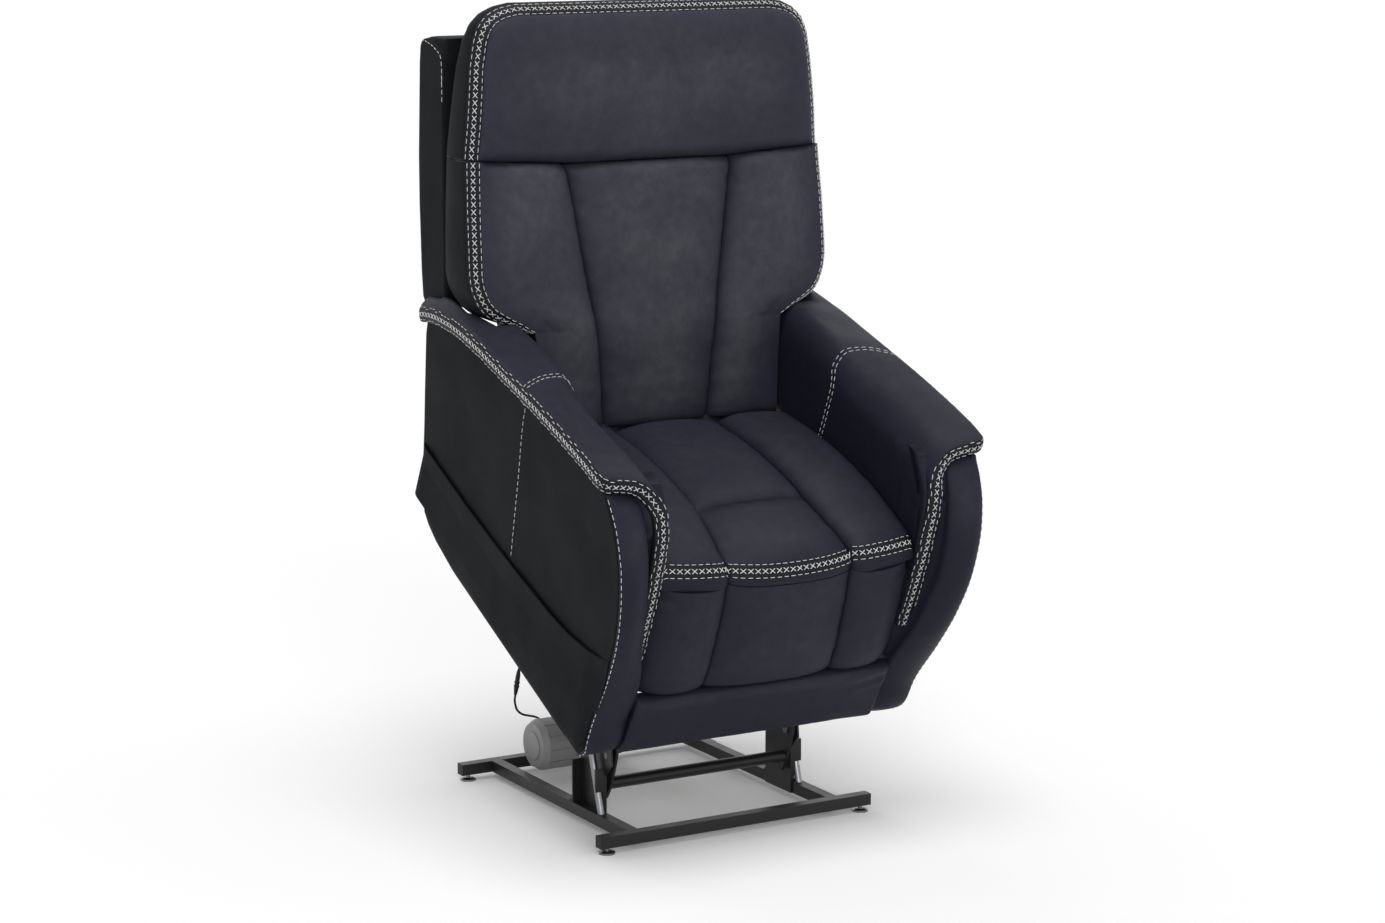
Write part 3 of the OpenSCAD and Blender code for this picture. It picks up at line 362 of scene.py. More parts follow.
def leather(name, deep, wear_and_sheen, wear_and_sheen_share, roughness, grain=1.0, shine=0.16):
    """Waxed leather: a fine cell grain, soft clouds of wear with a painted sheen on what stands proud, and darker sewn
    bands.
    """
    m, shader = material(name, deep, roughness, Specular_IOR_Level=shine)
    link = m.node_tree.links.new
    place = object_place(m)
    crown, band = (node(m, "ShaderNodeAttribute", attribute_name=a).outputs["Fac"] for a in ("crown", "band"))
    cloud = texture(m, "Noise", place, 6.5, Detail=5.0, Roughness=0.62).outputs["Fac"]
    mottle = texture(m, "Noise", place, 42.0, Detail=4.0, Roughness=0.6).outputs["Fac"]
    wear = calc(m, "MULTIPLY", ramp(m, cloud, 0.32, 0.42, 0.68, 1.0), ramp(m, mottle, 0.35, 0.72, 0.7, 1.0))
    # The lighter tone is partly rubbed wear and partly a painted sheen, laid mostly where the crown attribute marks
    # what stands proud.
    lifted = calc(m, "MULTIPLY_ADD", crown, 0.94, 0.06, use_clamp=True)
    share = calc(m, "MULTIPLY", calc(m, "MULTIPLY", wear, lifted), wear_and_sheen_share)
    tone = mixed(m, share, (*deep, 1), (*wear_and_sheen, 1))
    tone = mixed(m, 1.0, tone, ramp(m, mottle, 0.3, 0.88, 0.75, 1.06), blend_type="MULTIPLY")
    link(mixed(m, band, tone, BAND_TONE), shader.inputs["Base Color"])
    link(ramp(m, cloud, 0.3, roughness + 0.07, 0.75, roughness - 0.06), shader.inputs["Roughness"])
    cells = texture(m, "Voronoi", place, 620.0, feature="DISTANCE_TO_EDGE").outputs["Distance"]
    pits = texture(m, "Noise", place, 240.0, Detail=3.0).outputs["Fac"]
    bumped(m, shader, calc(m, "ADD", ramp(m, cells, 0.0, 0.0, 0.12, 1.0), pits), 0.22 * grain, 0.0006)
    return m


def coated(
    name, base, roughness, metallic=0.0, speck=0.25, scale=900.0, bump=0.15, depth=0.0002, streak=None, **values
):
    """Paint, moulded plastic, rubber or plated steel with its fine surface and slight change of gloss."""
    m, shader = material(name, base, roughness, metallic, **values)
    link = m.node_tree.links.new
    place = object_place(m)
    if streak:
        place = node(m, "ShaderNodeMapping", {"Vector": place, "Scale": streak}).outputs["Vector"]
    fine = texture(m, "Noise", place, scale, Detail=2.0).outputs["Fac"]
    broad = texture(m, "Noise", place, 14.0, Detail=4.0).outputs["Fac"]
    dark, light = tuple(c * (1 - speck * 0.5) for c in base), tuple(min(1, c * (1 + speck)) for c in base)
    link(ramp(m, broad, 0.3, dark, 0.7, light), shader.inputs["Base Color"])
    link(ramp(m, broad, 0.3, min(1, roughness + 0.08), 0.7, max(0.05, roughness - 0.05)), shader.inputs["Roughness"])
    bumped(m, shader, fine, bump, depth)
    return m


NAVY = leather("navy_leather", (0.0128, 0.0130, 0.0245), (0.048, 0.050, 0.060), 0.36, 0.50, 1.0, 0.13)
# Navy painted lighter, with more sheen, for the back and headrest: it stands in for the stronger light that falls on
# the back.
PAINTED_LIGHTER_NAVY = leather("navy_leather_painted_lighter", (0.0250, 0.0253, 0.0400), (0.080, 0.082, 0.092), 0.72, 0.50, 1.0, 0.13)
SIDE = leather("side_leather", (0.0086, 0.0094, 0.0112), (0.013, 0.014, 0.016), 0.4, 0.62, 0.8, 0.05)
THREAD, thread_shader = material("thread", (0.66, 0.66, 0.68), 0.7, Sheen_Weight=0.2)
twist = texture(THREAD, "Wave", object_place(THREAD), 900.0, Distortion=1.0)
bumped(THREAD, thread_shader, twist.outputs["Fac"], 0.3, 0.0003)
STEEL = coated("black_steel", (0.011, 0.011, 0.012), 0.38, speck=0.2, scale=700, bump=0.12, Specular_IOR_Level=0.35)
ZINC = coated("zinc_steel", (0.21, 0.215, 0.225), 0.30, 1.0, speck=0.12, scale=160, bump=0.1, streak=(1, 1, 9))
GREY = coated("grey_plastic", (0.34, 0.34, 0.345), 0.55, speck=0.06, scale=1200, bump=0.2)
BLACK = coated("black_plastic", (0.010, 0.010, 0.011), 0.5, speck=0.2, scale=1100, bump=0.25, Specular_IOR_Level=0.3)
PAD = coated("button_grey", (0.24, 0.24, 0.25), 0.6, speck=0.08, scale=900, bump=0.1)
RUBBER = coated("lead_rubber", (0.010, 0.010, 0.011), 0.55, speck=0.15, scale=800, bump=0.1, Specular_IOR_Level=0.3)
WOOD = coated("timber", (0.21, 0.14, 0.085), 0.75, speck=0.3, scale=60, bump=0.4, depth=0.0006, streak=(9, 1, 1))
SLOTS = {
    "navy_leather": NAVY, "side_leather": SIDE, "black_steel": STEEL, "zinc_steel": ZINC, "grey_plastic": GREY,
    "black_plastic": BLACK, "button_grey": PAD, "lead_rubber": RUBBER, "timber": WOOD,
}
for part in frame["record"]["subparts"]:
    obj = frame["nodes"][part["node"]]
    obj.data.materials.clear()
    obj.data.materials.append(SLOTS[part["material_slot"]])



# Surfaces of the padded pieces, by name, for the sewing
SURFACES = {}


def soft(obj, replaced):
    """Hides the frame's part that a padded piece replaces, and keeps the piece's surface for the sewing."""
    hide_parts(replaced)
    SURFACES[obj.name] = BVHTree.FromPolygons(
        [obj.matrix_world @ v.co for v in obj.data.vertices], [tuple(p.vertices) for p in obj.data.polygons]
    )


# ---------- motor lead ----------

LEAD_DIAMETER = 0.005
LEAD = [
    (-136, 297, 113), (-137, 309, 119), (-143, 321, 123), (-154, 331, 125), (-168, 336, 129), (-180, 335, 139),
    (-188, 329, 152), (-193.5, 322.5, 167), (-194, 318, 182), (-194, 300, 242), (-194.3, 294.2, 262),
    (-197, 292, 284), (-200, 290, 306), (-203, 290, 328), (-206, 292, 350), (-208, 295, 371), (-209, 298, 392),
    (-210, 299, 412), (-210, 297, 430), (-210, 288, 448), (-210, 273, 465), (-209, 253, 481), (-207, 230, 497),
    (-203, 206, 513), (-196, 181, 529), (-186, 156, 545), (-172, 131, 560), (-154, 107, 573), (-133, 84, 584),
    (-111, 63, 595), (-90, 45, 608), (-74, 30, 624), (-64, 18, 641), (-60, 7.4, 651), (-60, -3.2, 672.7),
]


def sweep(path, radius, sides=12):
    """Rings of a round tube along a path, in the path's own unit."""
    side = unit(np.cross(unit(path[1] - path[0]), [0.3, 0.2, 1]))
    a = np.arange(sides)[:, None] * 2 * np.pi / sides
    rings = []
    for p, t, r in zip(path, unit(np.gradient(path, axis=0)), np.broadcast_to(radius, (len(path),))):
        side = unit(side - t * (side @ t))
        rings.append(p + r * (np.cos(a) * side + np.sin(a) * np.cross(t, side)))
    return np.array(rings)


lead_path = upright(spline(LEAD))
lead_skin = capped(sweep(lead_path, LEAD_DIAMETER / 2), [lead_path[0], lead_path[-1]])
lead = add_mesh("motor_lead_sheath", *lead_skin, RUBBER, "lift_drive")
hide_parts("motor_lead")
float(lengths(lead_path)[-1])
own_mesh(lead)


# ---------- back and headrest ----------

BACK_LOW, CREASE, FOLD_TOP = 828.0, 1400.0, 1708.0
# Half width of the front at the fold where the sewn band begins, by height
HALF_BACK = [
    (BACK_LOW, 299), (1030, 300), (1048, 303), (1055, 315), (1068, 334), (1082, 360), (1098, 384), (1118, 401),
    (1145, 412), (1170, 416), (1200, 416), (1300, 414), (1400, 409), (1500, 402), (1600, 394), (1650, 386),
    (1676, 376), (1692, 360), (1702, 338), (FOLD_TOP, 306),
]
FOLD_Y = [
    (BACK_LOW, 14), (950, 12), (1020, 6), (1060, 8), (1110, 16), (1200, 23), (1300, 32), (1400, 42), (1500, 39),
    (1600, 43), (1680, 48), (FOLD_TOP, 56),
]
REAR_BACK = [
    (BACK_LOW, 72), (950, 122), (1093, 188), (1110, 192), (1430, 192), (1500, 186), (1560, 177), (1600, 168),
    (1655, 148), (1690, 130), (FOLD_TOP, 118),
]
BACK_SEAM = [(BACK_LOW, 128), (950, 137), (1080, 152), (1200, 172), (1330, 192), (1400, 203)]


def seam_lift(x, z):
    """The crease under the headrest lies higher towards the sides."""
    rise = -5 + 14 * held((np.abs(x) - 150) / 260) ** 1.5
    return rise * held(1 - np.abs(z - CREASE) / 90)


def back_outline():
    z = np.append(np.arange(BACK_LOW, FOLD_TOP, 3), FOLD_TOP)
    right = np.stack([along(z, HALF_BACK), z], 1)
    return np.concatenate([right, (right * [-1, 1])[::-1]])


BACK_OUTLINE = back_outline()


def puckers(across, depth_along, size, p):
    """Small folds that run away from a seam: across is the distance from it and depth_along the place on it."""
    return np.exp(-across / size) * (0.6 * np.sin(depth_along / 7.5 + 3 * noise(p, 60)) + noise(p, 17)) * 1.3


def dome(d, reach):
    """Rises from 0 at an outline to 1 at the given distance inside it, steep at first."""
    return np.sqrt(np.maximum(1 - (1 - held(d / reach)) ** 2, 0))


def back_front(x, z, headrest):
    """Front surface of the back at x and height z, and how proud it stands from 0 to 1."""
    half = along(z, HALF_BACK)
    ax = np.abs(x)
    p = points(x, z, 0)
    d = outline_distance(x, z, BACK_OUTLINE)
    fold = smooth_along(z, FOLD_Y)
    if headrest:
        y = fold - 17 * dome(d, 70) - 7 * held(1 - (ax / 400) ** 2)
        y = y + round_over(z - CREASE, 30) * 1.1 * dome(d, 60)
        y = y - puckers(z - CREASE, x, 22, p) * 0.9 * held(d / 20)
        y = y - (1.6 * noise(p, 150) + 0.7 * noise(p, 60)) * dome(d, 40)
        return y, held(bell(z, 1560, 110) * (1 - (ax / 390) ** 2))
    seam = along(z, BACK_SEAM)
    mid = ax <= seam
    t_side = held((ax - seam) / np.maximum(half - seam, 1))
    up = lobe(held(1 - t_side / 0.38), 2.0)
    side = 46 * up * (1 - 0.80 * held((t_side - 0.36) / 0.64) ** 1.8)
    height = np.where(mid, 48 * lobe(ax / seam, 2.1), side)
    foot = 0.72 + 0.28 * held((z - BACK_LOW) / 90)
    waist = 1 - 0.1 * bell(z, 1020, 90)
    y = fold + 15 - height * foot * waist - 15 * held((t_side - 0.7) / 0.3) ** 1.3 * (1 - mid)
    y = y + round_over(CREASE - z, 26) * 1.2 * held(d / 14) + round_over((z - BACK_LOW) * 1.2, 22) * 0.6
    folds = puckers(np.abs(ax - seam), z, 20, p) + puckers(CREASE - z, x, 20, p) * 0.8
    folds = folds + 2.0 * noise(p, 130) + 0.9 * noise(p, 48)
    return y - folds * held(d / 16), height / 48 * held(d / 60)


RIMS = {}


def smoothed(v):
    """Values evened out along a line whose ends stay."""
    out = np.copy(v)
    for _ in range(2):
        out[1:-1] = (out[:-2] + 2 * out[1:-1] + out[2:]) / 4
    return out


def outward(path):
    """Unit normals of a path in the plane of x and z, away from the middle of the back."""
    t = np.gradient(path[:, [0, 2]], axis=0)
    n = unit(np.stack([smoothed(t[:, 1]), -smoothed(t[:, 0])], 1))
    if (n * (path[:, [0, 2]] - [0, CREASE])).sum() < 0:
        n = -n
    return points(n[:, 0], 0, n[:, 1])


# The rim past the fold, as (outwards, to the rear) in millimetres, then its gusset as (outwards, share of the depth)
RIM = [(4, 2.2), (8, 5.5), (12, 9.5), (16, 14.0), (19.6, 19.0), (22, 25), (23.6, 33), (24, 44)]
RIM_REAR = [(24, 0.2), (22, 0.42), (17, 0.62), (10, 0.8), (4, 0.92), (-2, 1.0)]
# How dark the band is, by row of the rim
RIM_BAND = [(0, 1), (5, 1), (6, 0.6), (7, 0.1), (8, 0)]


def rim_rows(path):
    """Rows that run from a fold round the sewn band and the gusset to the rear of the back."""
    n = outward(path)
    # The rim narrows to the foot of the back, and its gusset stays drawn in there
    full = np.clip((path[:, 2] - 1042) / 62, 0.12, 1)[:, None]
    low = held((path[:, 2] - 1130) / 60)[:, None]
    rear = along(path[:, 2], REAR_BACK)
    room = np.minimum((rear - path[:, 1] - 20) / 44, 1)
    out = [path]
    for dx, dy in RIM:
        out.append(path + n * dx * full)
        out[-1][:, 1] = path[:, 1] + dy * room
    start = out[-1][:, 1]
    for dx, s in RIM_REAR:
        out.append(path + n * (dx * low + dx * (1 - low) * held(dx)) * full)
        out[-1][:, 1] = start + (rear - start) * s
    return np.array(out)


def end_closing(a, b, left, right, share):
    """Closes an end between the front row a and the rear row b, held at both sides by the rim's own ends."""
    s = np.linspace(0, 1, len(left))[:, None, None]
    mid = a * (1 - s) + b * s
    held = left[:, None] * (1 - share) + right[:, None] * share
    straight = mid[:, :1] * (1 - share) + mid[:, -1:] * share
    out = mid + (held - straight) * np.exp(-np.minimum(share, 1 - share) * 30)
    out[:, 0], out[:, -1] = left, right
    out[0], out[-1] = a, b
    return out


def back_body(name, heights, headrest):
    """One cushion of the back: its sewn front, the band and gusset round it, and a flat rear."""
    front, crowns = [], []
    for z in heights:
        half, seam = float(along(z, HALF_BACK)), float(along(z, BACK_SEAM))
        x = half * (2 * eased(150) - 1) if headrest else channel_x(seam, half, 46, 72)
        y, crown = back_front(x, np.full_like(x, z), headrest)
        front.append(points(x, y, z + seam_lift(x, z)))
        crowns.append(crown)
    front = np.array(front)
    m, n = front.shape[:2]
    share = ((front[0, :, 0] - front[0, 0, 0]) / (front[0, -1, 0] - front[0, 0, 0]))[:, None]
    if headrest:
        rim = rim_rows(np.concatenate([front[:-1, 0], front[-1], front[:-1, -1][::-1]]))
        rims = [rim]
        left, top, right = rim[-1][: m - 1], rim[-1][m - 1: m - 1 + n], rim[-1][m - 1 + n:][::-1]
        sides = np.concatenate([left, top[:1]]), np.concatenate([right, top[-1:]])
        ends = [(0, rim[:, 0], rim[:, -1])]
    else:
        rims = [rim_rows(front[:, 0]), rim_rows(front[:, -1])]
        sides = rims[0][-1], rims[1][-1]
        ends = [(row, rims[0][:, row], rims[1][:, row]) for row in (0, -1)]
    back = sides[0][:, None] * (1 - share) + sides[1][:, None] * share
    if headrest:
        back[-1] = top
    RIMS[name] = rims
    d = outline_distance(front[..., 0], np.broadcast_to(np.array(heights)[:, None], (m, n)), BACK_OUTLINE)
    # Each block of the surface with its crown, band and gusset
    blocks = [(front, np.array(crowns), held((1.5 - d) / 2), 0), (back, 0, 0, 0)]
    row = np.arange(len(rims[0]))[:, None]
    blocks += [(r, 0, along(row, RIM_BAND), np.where(row < 6, 0, 1)) for r in rims]
    blocks += [(end_closing(front[row], back[row], le, re, share), 0, 0, 0) for row, le, re in ends]
    faces, start = [], 0
    for g, *_ in blocks:
        r, q = g.shape[:2]
        faces += grid_faces(r, q, start=start)
        start += r * q
    crown, band, gusset = (
        np.concatenate([np.broadcast_to(b[k], b[0].shape[:2]).ravel() for b in blocks]) for k in (1, 2, 3)
    )
    verts = np.concatenate([b[0].reshape(-1, 3) for b in blocks])
    # The back and headrest take the navy painted lighter for the light that falls on them.
    return add_mesh(name, upright(verts), faces, PAINTED_LIGHTER_NAVY, None, {"crown": crown, "band": band * 0.9, "gusset": gusset})


def two_leathers(obj):
    """Gives the faces of the gusset the plainer side leather."""
    marks = obj.data.attributes["gusset"]
    mask = np.empty(len(obj.data.vertices), np.float32)
    marks.data.foreach_get("value", mask)
    obj.data.materials.append(SIDE)
    for f in obj.data.polygons:
        f.material_index = int(min(mask[i] for i in f.vertices) > 0.5)
    obj.data.attributes.remove(marks)


def rows(a, b, step, *dense):
    """Heights from a to b every step, with finer spans (low, high, step)."""
    z = list(np.arange(a, b, step)) + [b]
    for lo, hi, s in dense:
        z = [v for v in z if v < lo or v > hi] + list(np.arange(lo, hi, s)) + [hi]
    return sorted(set(round(float(v), 3) for v in z))


# Half the gap between the two cushions
GAP = 0.4
back_heights = rows(BACK_LOW, CREASE - GAP, 6, (BACK_LOW, 850, 2), (1038, 1116, 2), (1374, CREASE - GAP, 2))
head_heights = rows(CREASE + GAP, FOLD_TOP, 6, (CREASE + GAP, 1430, 2), (1650, FOLD_TOP, 2))
back_pad = back_body("back_pad_leather", back_heights, False)
head_pad = back_body("headrest_leather", head_heights, True)
for pad, body, cushion in ((back_pad, "back", "back_cushion"), (head_pad, "headrest", "headrest_cushion")):
    two_leathers(pad)
    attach(pad, body)
    soft(pad, cushion)


# ---------- seat ----------

SEAT_HALF, SEAT_LOW, SEAT_Z = 304.5, 684.0, 816.0
SEAT_LINE = [(-202, -17), (-165, -9), (-90, -3), (-26, 0), (100, -8), (220, -28), (345, -59)]
SEAT_SEAM = [(-240, 149), (-165, 146), (-110, 139), (-26, 131), (345, 128)]
CROSS, ROLL_Y, ROLL_Z = -26.0, -165.0, 768.0
ROLL_SEAM, ROLL_SIDE = 147.0, 157.0
# Rear flap that dips under the back, then the turned-in lower edge of the roll, as (y, z)
SEAT_FLAP = [
    (344, SEAT_LOW), (388, 688), (393, 694), (393, 724), (391, 739), (386, 740), (378, 732), (366, 730),
]
ROLL_HEM = [(6, 762), (26, 756), (45, 745)]


def seat_surface(x, y):
    """Height of the seat's top and how proud it stands from 0 to 1."""
    seam = along(y, SEAT_SEAM)
    ax = np.abs(x)
    mid = ax <= seam
    t_side = held((ax - seam) / (SEAT_HALF - seam))
    front = held((y - CROSS) / (ROLL_Y - 30 - CROSS))
    rear = held((y - CROSS) / (345 - CROSS))
    t_len = np.where(y < CROSS, front, rear)
    rise = np.where(y < CROSS, 0.5, 0.16)
    cross = lobe(held(1 - t_len / rise), 2.3)
    height = np.where(mid, 29 * lobe(ax / seam, 2.1) * (0.26 + 0.74 * cross), 30 * side_lobe(t_side, 0.4, 0.35))
    p = points(x, y, 0)
    z = SEAT_Z + smooth_along(y, SEAT_LINE) - 13 + height
    z = z - round_over(SEAT_HALF - ax, 20) * 0.9
    z = z + puckers(np.abs(ax - seam), y, 17, p) * 0.8
    z = z + np.where(mid, puckers(np.abs(y - CROSS), x, 16, p) * 0.8, 0)
    z = z + 1.8 * noise(p, 120) + 0.8 * noise(p, 45)
    return z, height / 26 * held((SEAT_HALF - ax) / 40)


def seat_x(y):
    return channel_x(float(along(y, SEAT_SEAM)), SEAT_HALF, 44, 64)


def roll_reach(x):
    """How far the front edge stands before the line where it starts to turn down."""
    ax = np.abs(x)
    t = held((ax - ROLL_SEAM) / ROLL_SIDE)
    side = 47 + 24 * side_lobe(t, 0.3, 0.0) - 25 * t**2.2
    return np.where(ax < ROLL_SEAM, 47 + 31 * lobe(held(ax / ROLL_SEAM), 2.2), side)


def seat_front(x, a):
    """Points of the rolled front edge at angle a degrees from its top."""
    z0, _ = seat_surface(x, np.full_like(x, ROLL_Y))
    a = np.radians(a)
    return points(x, ROLL_Y - roll_reach(x) * np.sin(a), ROLL_Z + (z0 - ROLL_Z) * np.cos(a))


def band_angle(x):
    """Where the sewn band lies on the roll: it dips in the middle of each channel."""
    ax = np.abs(x)
    side = 42 + 6 * side_lobe(held((ax - ROLL_SEAM) / ROLL_SIDE), 0.4, 1.0)
    return np.where(ax < ROLL_SEAM, 42 + 17 * lobe(held(ax / ROLL_SEAM), 2.0), side)


def seat_mesh():
    grid, crown, band = [], [], []

    def row(x, y, z, c=0.0, b=0.0):
        grid.append(points(x, y, z))
        crown.append(np.zeros(len(x)) + c)
        band.append(np.zeros(len(x)) + b)

    x = seat_x(344)
    for y, z in SEAT_FLAP:
        row(x * 0.99, y, z)
    for y in rows(ROLL_Y, 344, 6, (-60, 10, 2), (330, 344, 2))[::-1]:
        x = seat_x(y)
        z, c = seat_surface(x, np.full_like(x, y))
        row(x, y, z - round_over(344 - y, 14), c)
    top_crown = crown[-1]
    for k, a in enumerate(np.linspace(0, 90, 19)[1:]):
        g = seat_front(x, a)
        w = np.linalg.norm((g - seat_front(x, band_angle(x)))[:, 1:], axis=1)
        row(*g.T, top_crown * 0.85 ** (k + 1), held((16.5 - w) / 2.5))
    low = grid[-1]
    for y, z in ROLL_HEM:
        row(x, np.minimum(low[:, 1] + y, -160), z)
    row(x, -158.0, SEAT_LOW + 6)
    for y in np.linspace(-150, 330, 12):
        row(x, y, SEAT_LOW)
    g = np.array(grid)
    m, n = g.shape[:2]
    faces = grid_faces(m, n) + [((m - 1) * n + j, (m - 1) * n + j + 1, j + 1, j) for j in range(n - 1)]
    # A point in the middle of each side closes it
    tips = [[g[m // 2, col, 0], 60, 735] for col in (0, -1)]
    for k, col in enumerate((0, n - 1)):
        faces += [(i * n + col, ((i + 1) % m) * n + col, m * n + k) for i in range(m)]
    values = {"crown": np.append(np.concatenate(crown), [0, 0]), "band": np.append(np.concatenate(band), [0, 0]) * 0.9}
    return add_mesh("seat_leather", chair(np.concatenate([g.reshape(-1, 3), tips])), faces, NAVY, "chair", values)


soft(seat_mesh(), "seat_cushion")


# ---------- footrest ----------

FOOT_LOW, FOOT_HIGH, FOOT_HALF = 509.7, 764.0, 303.0
FOOT_SEAM = [(FOOT_LOW, 153), (FOOT_HIGH, 147)]
FOOT_REAR = [(690, -202.5), (720, -184)]
# How far the crown of the middle channel, its seams and the outer edges stand before y = 0, by height
FOOT_CROWN = [
    (FOOT_LOW, -233), (512, -242), (517, -250), (526, -257), (540, -262.5), (556, -265), (600, -264), (650, -260),
    (700, -254), (740, -248), (FOOT_HIGH, -243),
]
FOOT_VALLEY = [(FOOT_LOW, -217), (516, -226), (530, -232), (560, -235), (640, -230), (720, -220), (FOOT_HIGH, -212)]
FOOT_EDGE = [(FOOT_LOW, -207), (520, -213), (545, -218), (600, -217), (680, -211), (740, -200), (FOOT_HIGH, -190)]


def foot_front(x, z):
    """Front of the footrest and how proud it stands from 0 to 1."""
    seam = along(z, FOOT_SEAM)
    ax = np.abs(x)
    mid = ax <= seam
    t = held((ax - seam) / (FOOT_HALF - seam))
    crown, valley, edge = (smooth_along(z, v) for v in (FOOT_CROWN, FOOT_VALLEY, FOOT_EDGE))
    up = lobe(held(1 - t / 0.42), 2.2)
    middle = valley + (crown - valley) * lobe(held(ax / seam), 2.2)
    side_crown = valley + (crown - valley) * 0.80
    outer = valley + (side_crown - valley) * up
    outer = outer + (edge - side_crown) * held((t - 0.42) / 0.58) ** 2.4
    y = np.where(mid, middle, outer)
    p = points(x, z, 0)
    y = y - puckers(np.abs(ax - seam), z, 15, p) * 0.8
    folds = bell(ax, FOOT_HALF, 50) * bell(z, FOOT_HIGH - 12, 45)
    y = y - folds * 3.0 * np.sin((FOOT_HIGH - z) / 5.5 + ax / 40)
    y = y - 1.8 * noise(p, 110) - 0.8 * noise(p, 42)
    height = np.where(mid, lobe(held(ax / seam), 2.2), up * (1 - 0.6 * t))
    return y, height * held((z - FOOT_LOW) / 60)


def foot_mesh():
    rings, crowns = [], []
    for z in rows(FOOT_LOW, FOOT_HIGH, 5, (FOOT_LOW, 545, 2), (720, FOOT_HIGH, 2)):
        x = channel_x(float(along(z, FOOT_SEAM)), FOOT_HALF, 44, 64)
        y, crown = foot_front(x, np.full_like(x, z))
        rings.append(np.concatenate([points(x, y, z), points(x[::-1], along(z, FOOT_REAR), z)]))
        crowns.append(np.concatenate([crown, crown * 0]))
    return ringed("footrest_leather", rings, crowns, "footrest")


soft(foot_mesh(), "footrest_pad")


# ---------- kick panel ----------

KICK_HALF, KICK_LOW, KICK_TOP, KICK_REAR = 305.4, 359, 509.2, -219
KICK_FRONT = [
    (KICK_LOW, -226), (366, -233), (380, -238), (420, -242), (470, -246), (496, -249), (503, -247), (507, -242),
    (KICK_TOP, -234),
]


def kick_mesh():
    rings, crowns = [], []
    x = KICK_HALF * (2 * eased(110) - 1)
    inset = KICK_HALF - np.abs(x)
    for z in rows(KICK_LOW, KICK_TOP, 5, (KICK_LOW, 376, 2), (494, KICK_TOP, 1.5)):
        p = points(x, z, 0)
        corner = bell(inset, 0, 80) * bell(z, 500, 40)
        folds = corner * 3.0 * np.sin((509 - z) / 6 + np.abs(x) / 22) + 1.4 * noise(p, 90) + 0.6 * noise(p, 35)
        y = smooth_along(z, KICK_FRONT) + round_over(inset, 10) * 0.7 - folds * held((509 - z) / 12)
        rings.append(np.concatenate([points(x, y, z), points(x[::-1], KICK_REAR, z)]))
        crowns.append(np.concatenate([bell(z, 496, 16) * np.ones_like(x), x * 0]))
    return ringed("kick_panel_leather", rings, crowns, "chair")


soft(kick_mesh(), "front_panel")


# ---------- arms ----------

# Height of the fold at the arm's outer top edge, by depth
ARM_EDGE = [
    (-145, 1011), (-74, 1009), (56, 999), (124, 992), (330, 965), (456, 947), (596, 912), (660, 886), (699, 865),
    (720, 852),
]
ARM_REAR = [(343, 430), (361, 545), (389, 603), (472, 636), (581, 655), (799, 700)]
# The recline hinge, as (y, z), and how near to it the back's wings pass, by |x|
HINGE = np.array([422.6, 684.0])
SWING = [(300, 246), (340, 250), (385, 276), (410, 290), (430, 292)]
# Fold at the front of the arm's leather, from the outer corner inwards and down, as (|x|, y, z)
FRONT_EDGE = [
    (447, -140.5, 1009), (443.5, -143.5, 1008.5), (435, -146, 1007.5), (400, -148, 1004), (365, -150, 996),
    (342, -156, 982), (323, -168, 961), (312, -182, 942), (308.5, -193, 918), (307, -203, 893), (306.5, -208, 872),
    (306, -213, 835), (306, -218, 790), (305.5, -221, 740), (305.5, -222, 690), (305.5, -223, 634), (305.5, -223, 600),
]
# Corner of the sections where the crown ends, and x of the inner side
SHOULDER, INNER_X = 8, 305.5
# Outer border of the padded front, on the arm's outer plane, as (z, y)
FRONT_SEAM = [
    (343, -200), (370, -222), (452, -231), (565, -257), (654, -271), (707, -273), (743, -271), (798, -261), (848, -246),
    (875, -233), (917, -206), (945, -178), (968, -149), (985, -135),
]


def hand(stem, side):
    return stem + ("_left" if side > 0 else "_right")


def outer_x(z):
    """The arm's outer side, which leans out as it rises."""
    return 388 + LEAN * (np.asarray(z, float) - 370)


def tucked(p):
    """Keeps points of the arm inside the swing of the back's wings."""
    out = p.copy()
    r = along(np.abs(p[:, 0]), SWING) - 3
    v = p[:, 1:] - HINGE
    n = np.linalg.norm(v, axis=1)
    near = (np.abs(p[:, 0]) < 419) & (p[:, 1] > 480) & (n > r)
    out[near, 1:] = HINGE + v[near] * (r[near] / n[near])[:, None]
    return out


def edge_height(y):
    return smooth_along(np.asarray(y, float), ARM_EDGE)


# Section across an arm at its front, as (x, height over the fold), then what is added to the heights
# where the arm rises and at its tail
WRAP = [
    (451, 0), (448, 1), (425, 1), (400, -2), (365, -12), (342, -26), (323, -47), (312, -67), (308, -92), (306.3, -130),
    (305.6, -175),
]
WRAP_RISE = np.array([0, 2, 6, 12, 24, 36, 39, 32, 18, 5, 0, 0, 0])
WRAP_TAIL = np.array([0, 5, 26, 48, 60, 56, 42, 20, 0, 0, 0, 0, 0])
WRAP_LOW = [(-100, 600), (0, 640), (60, 700), (120, 745)]


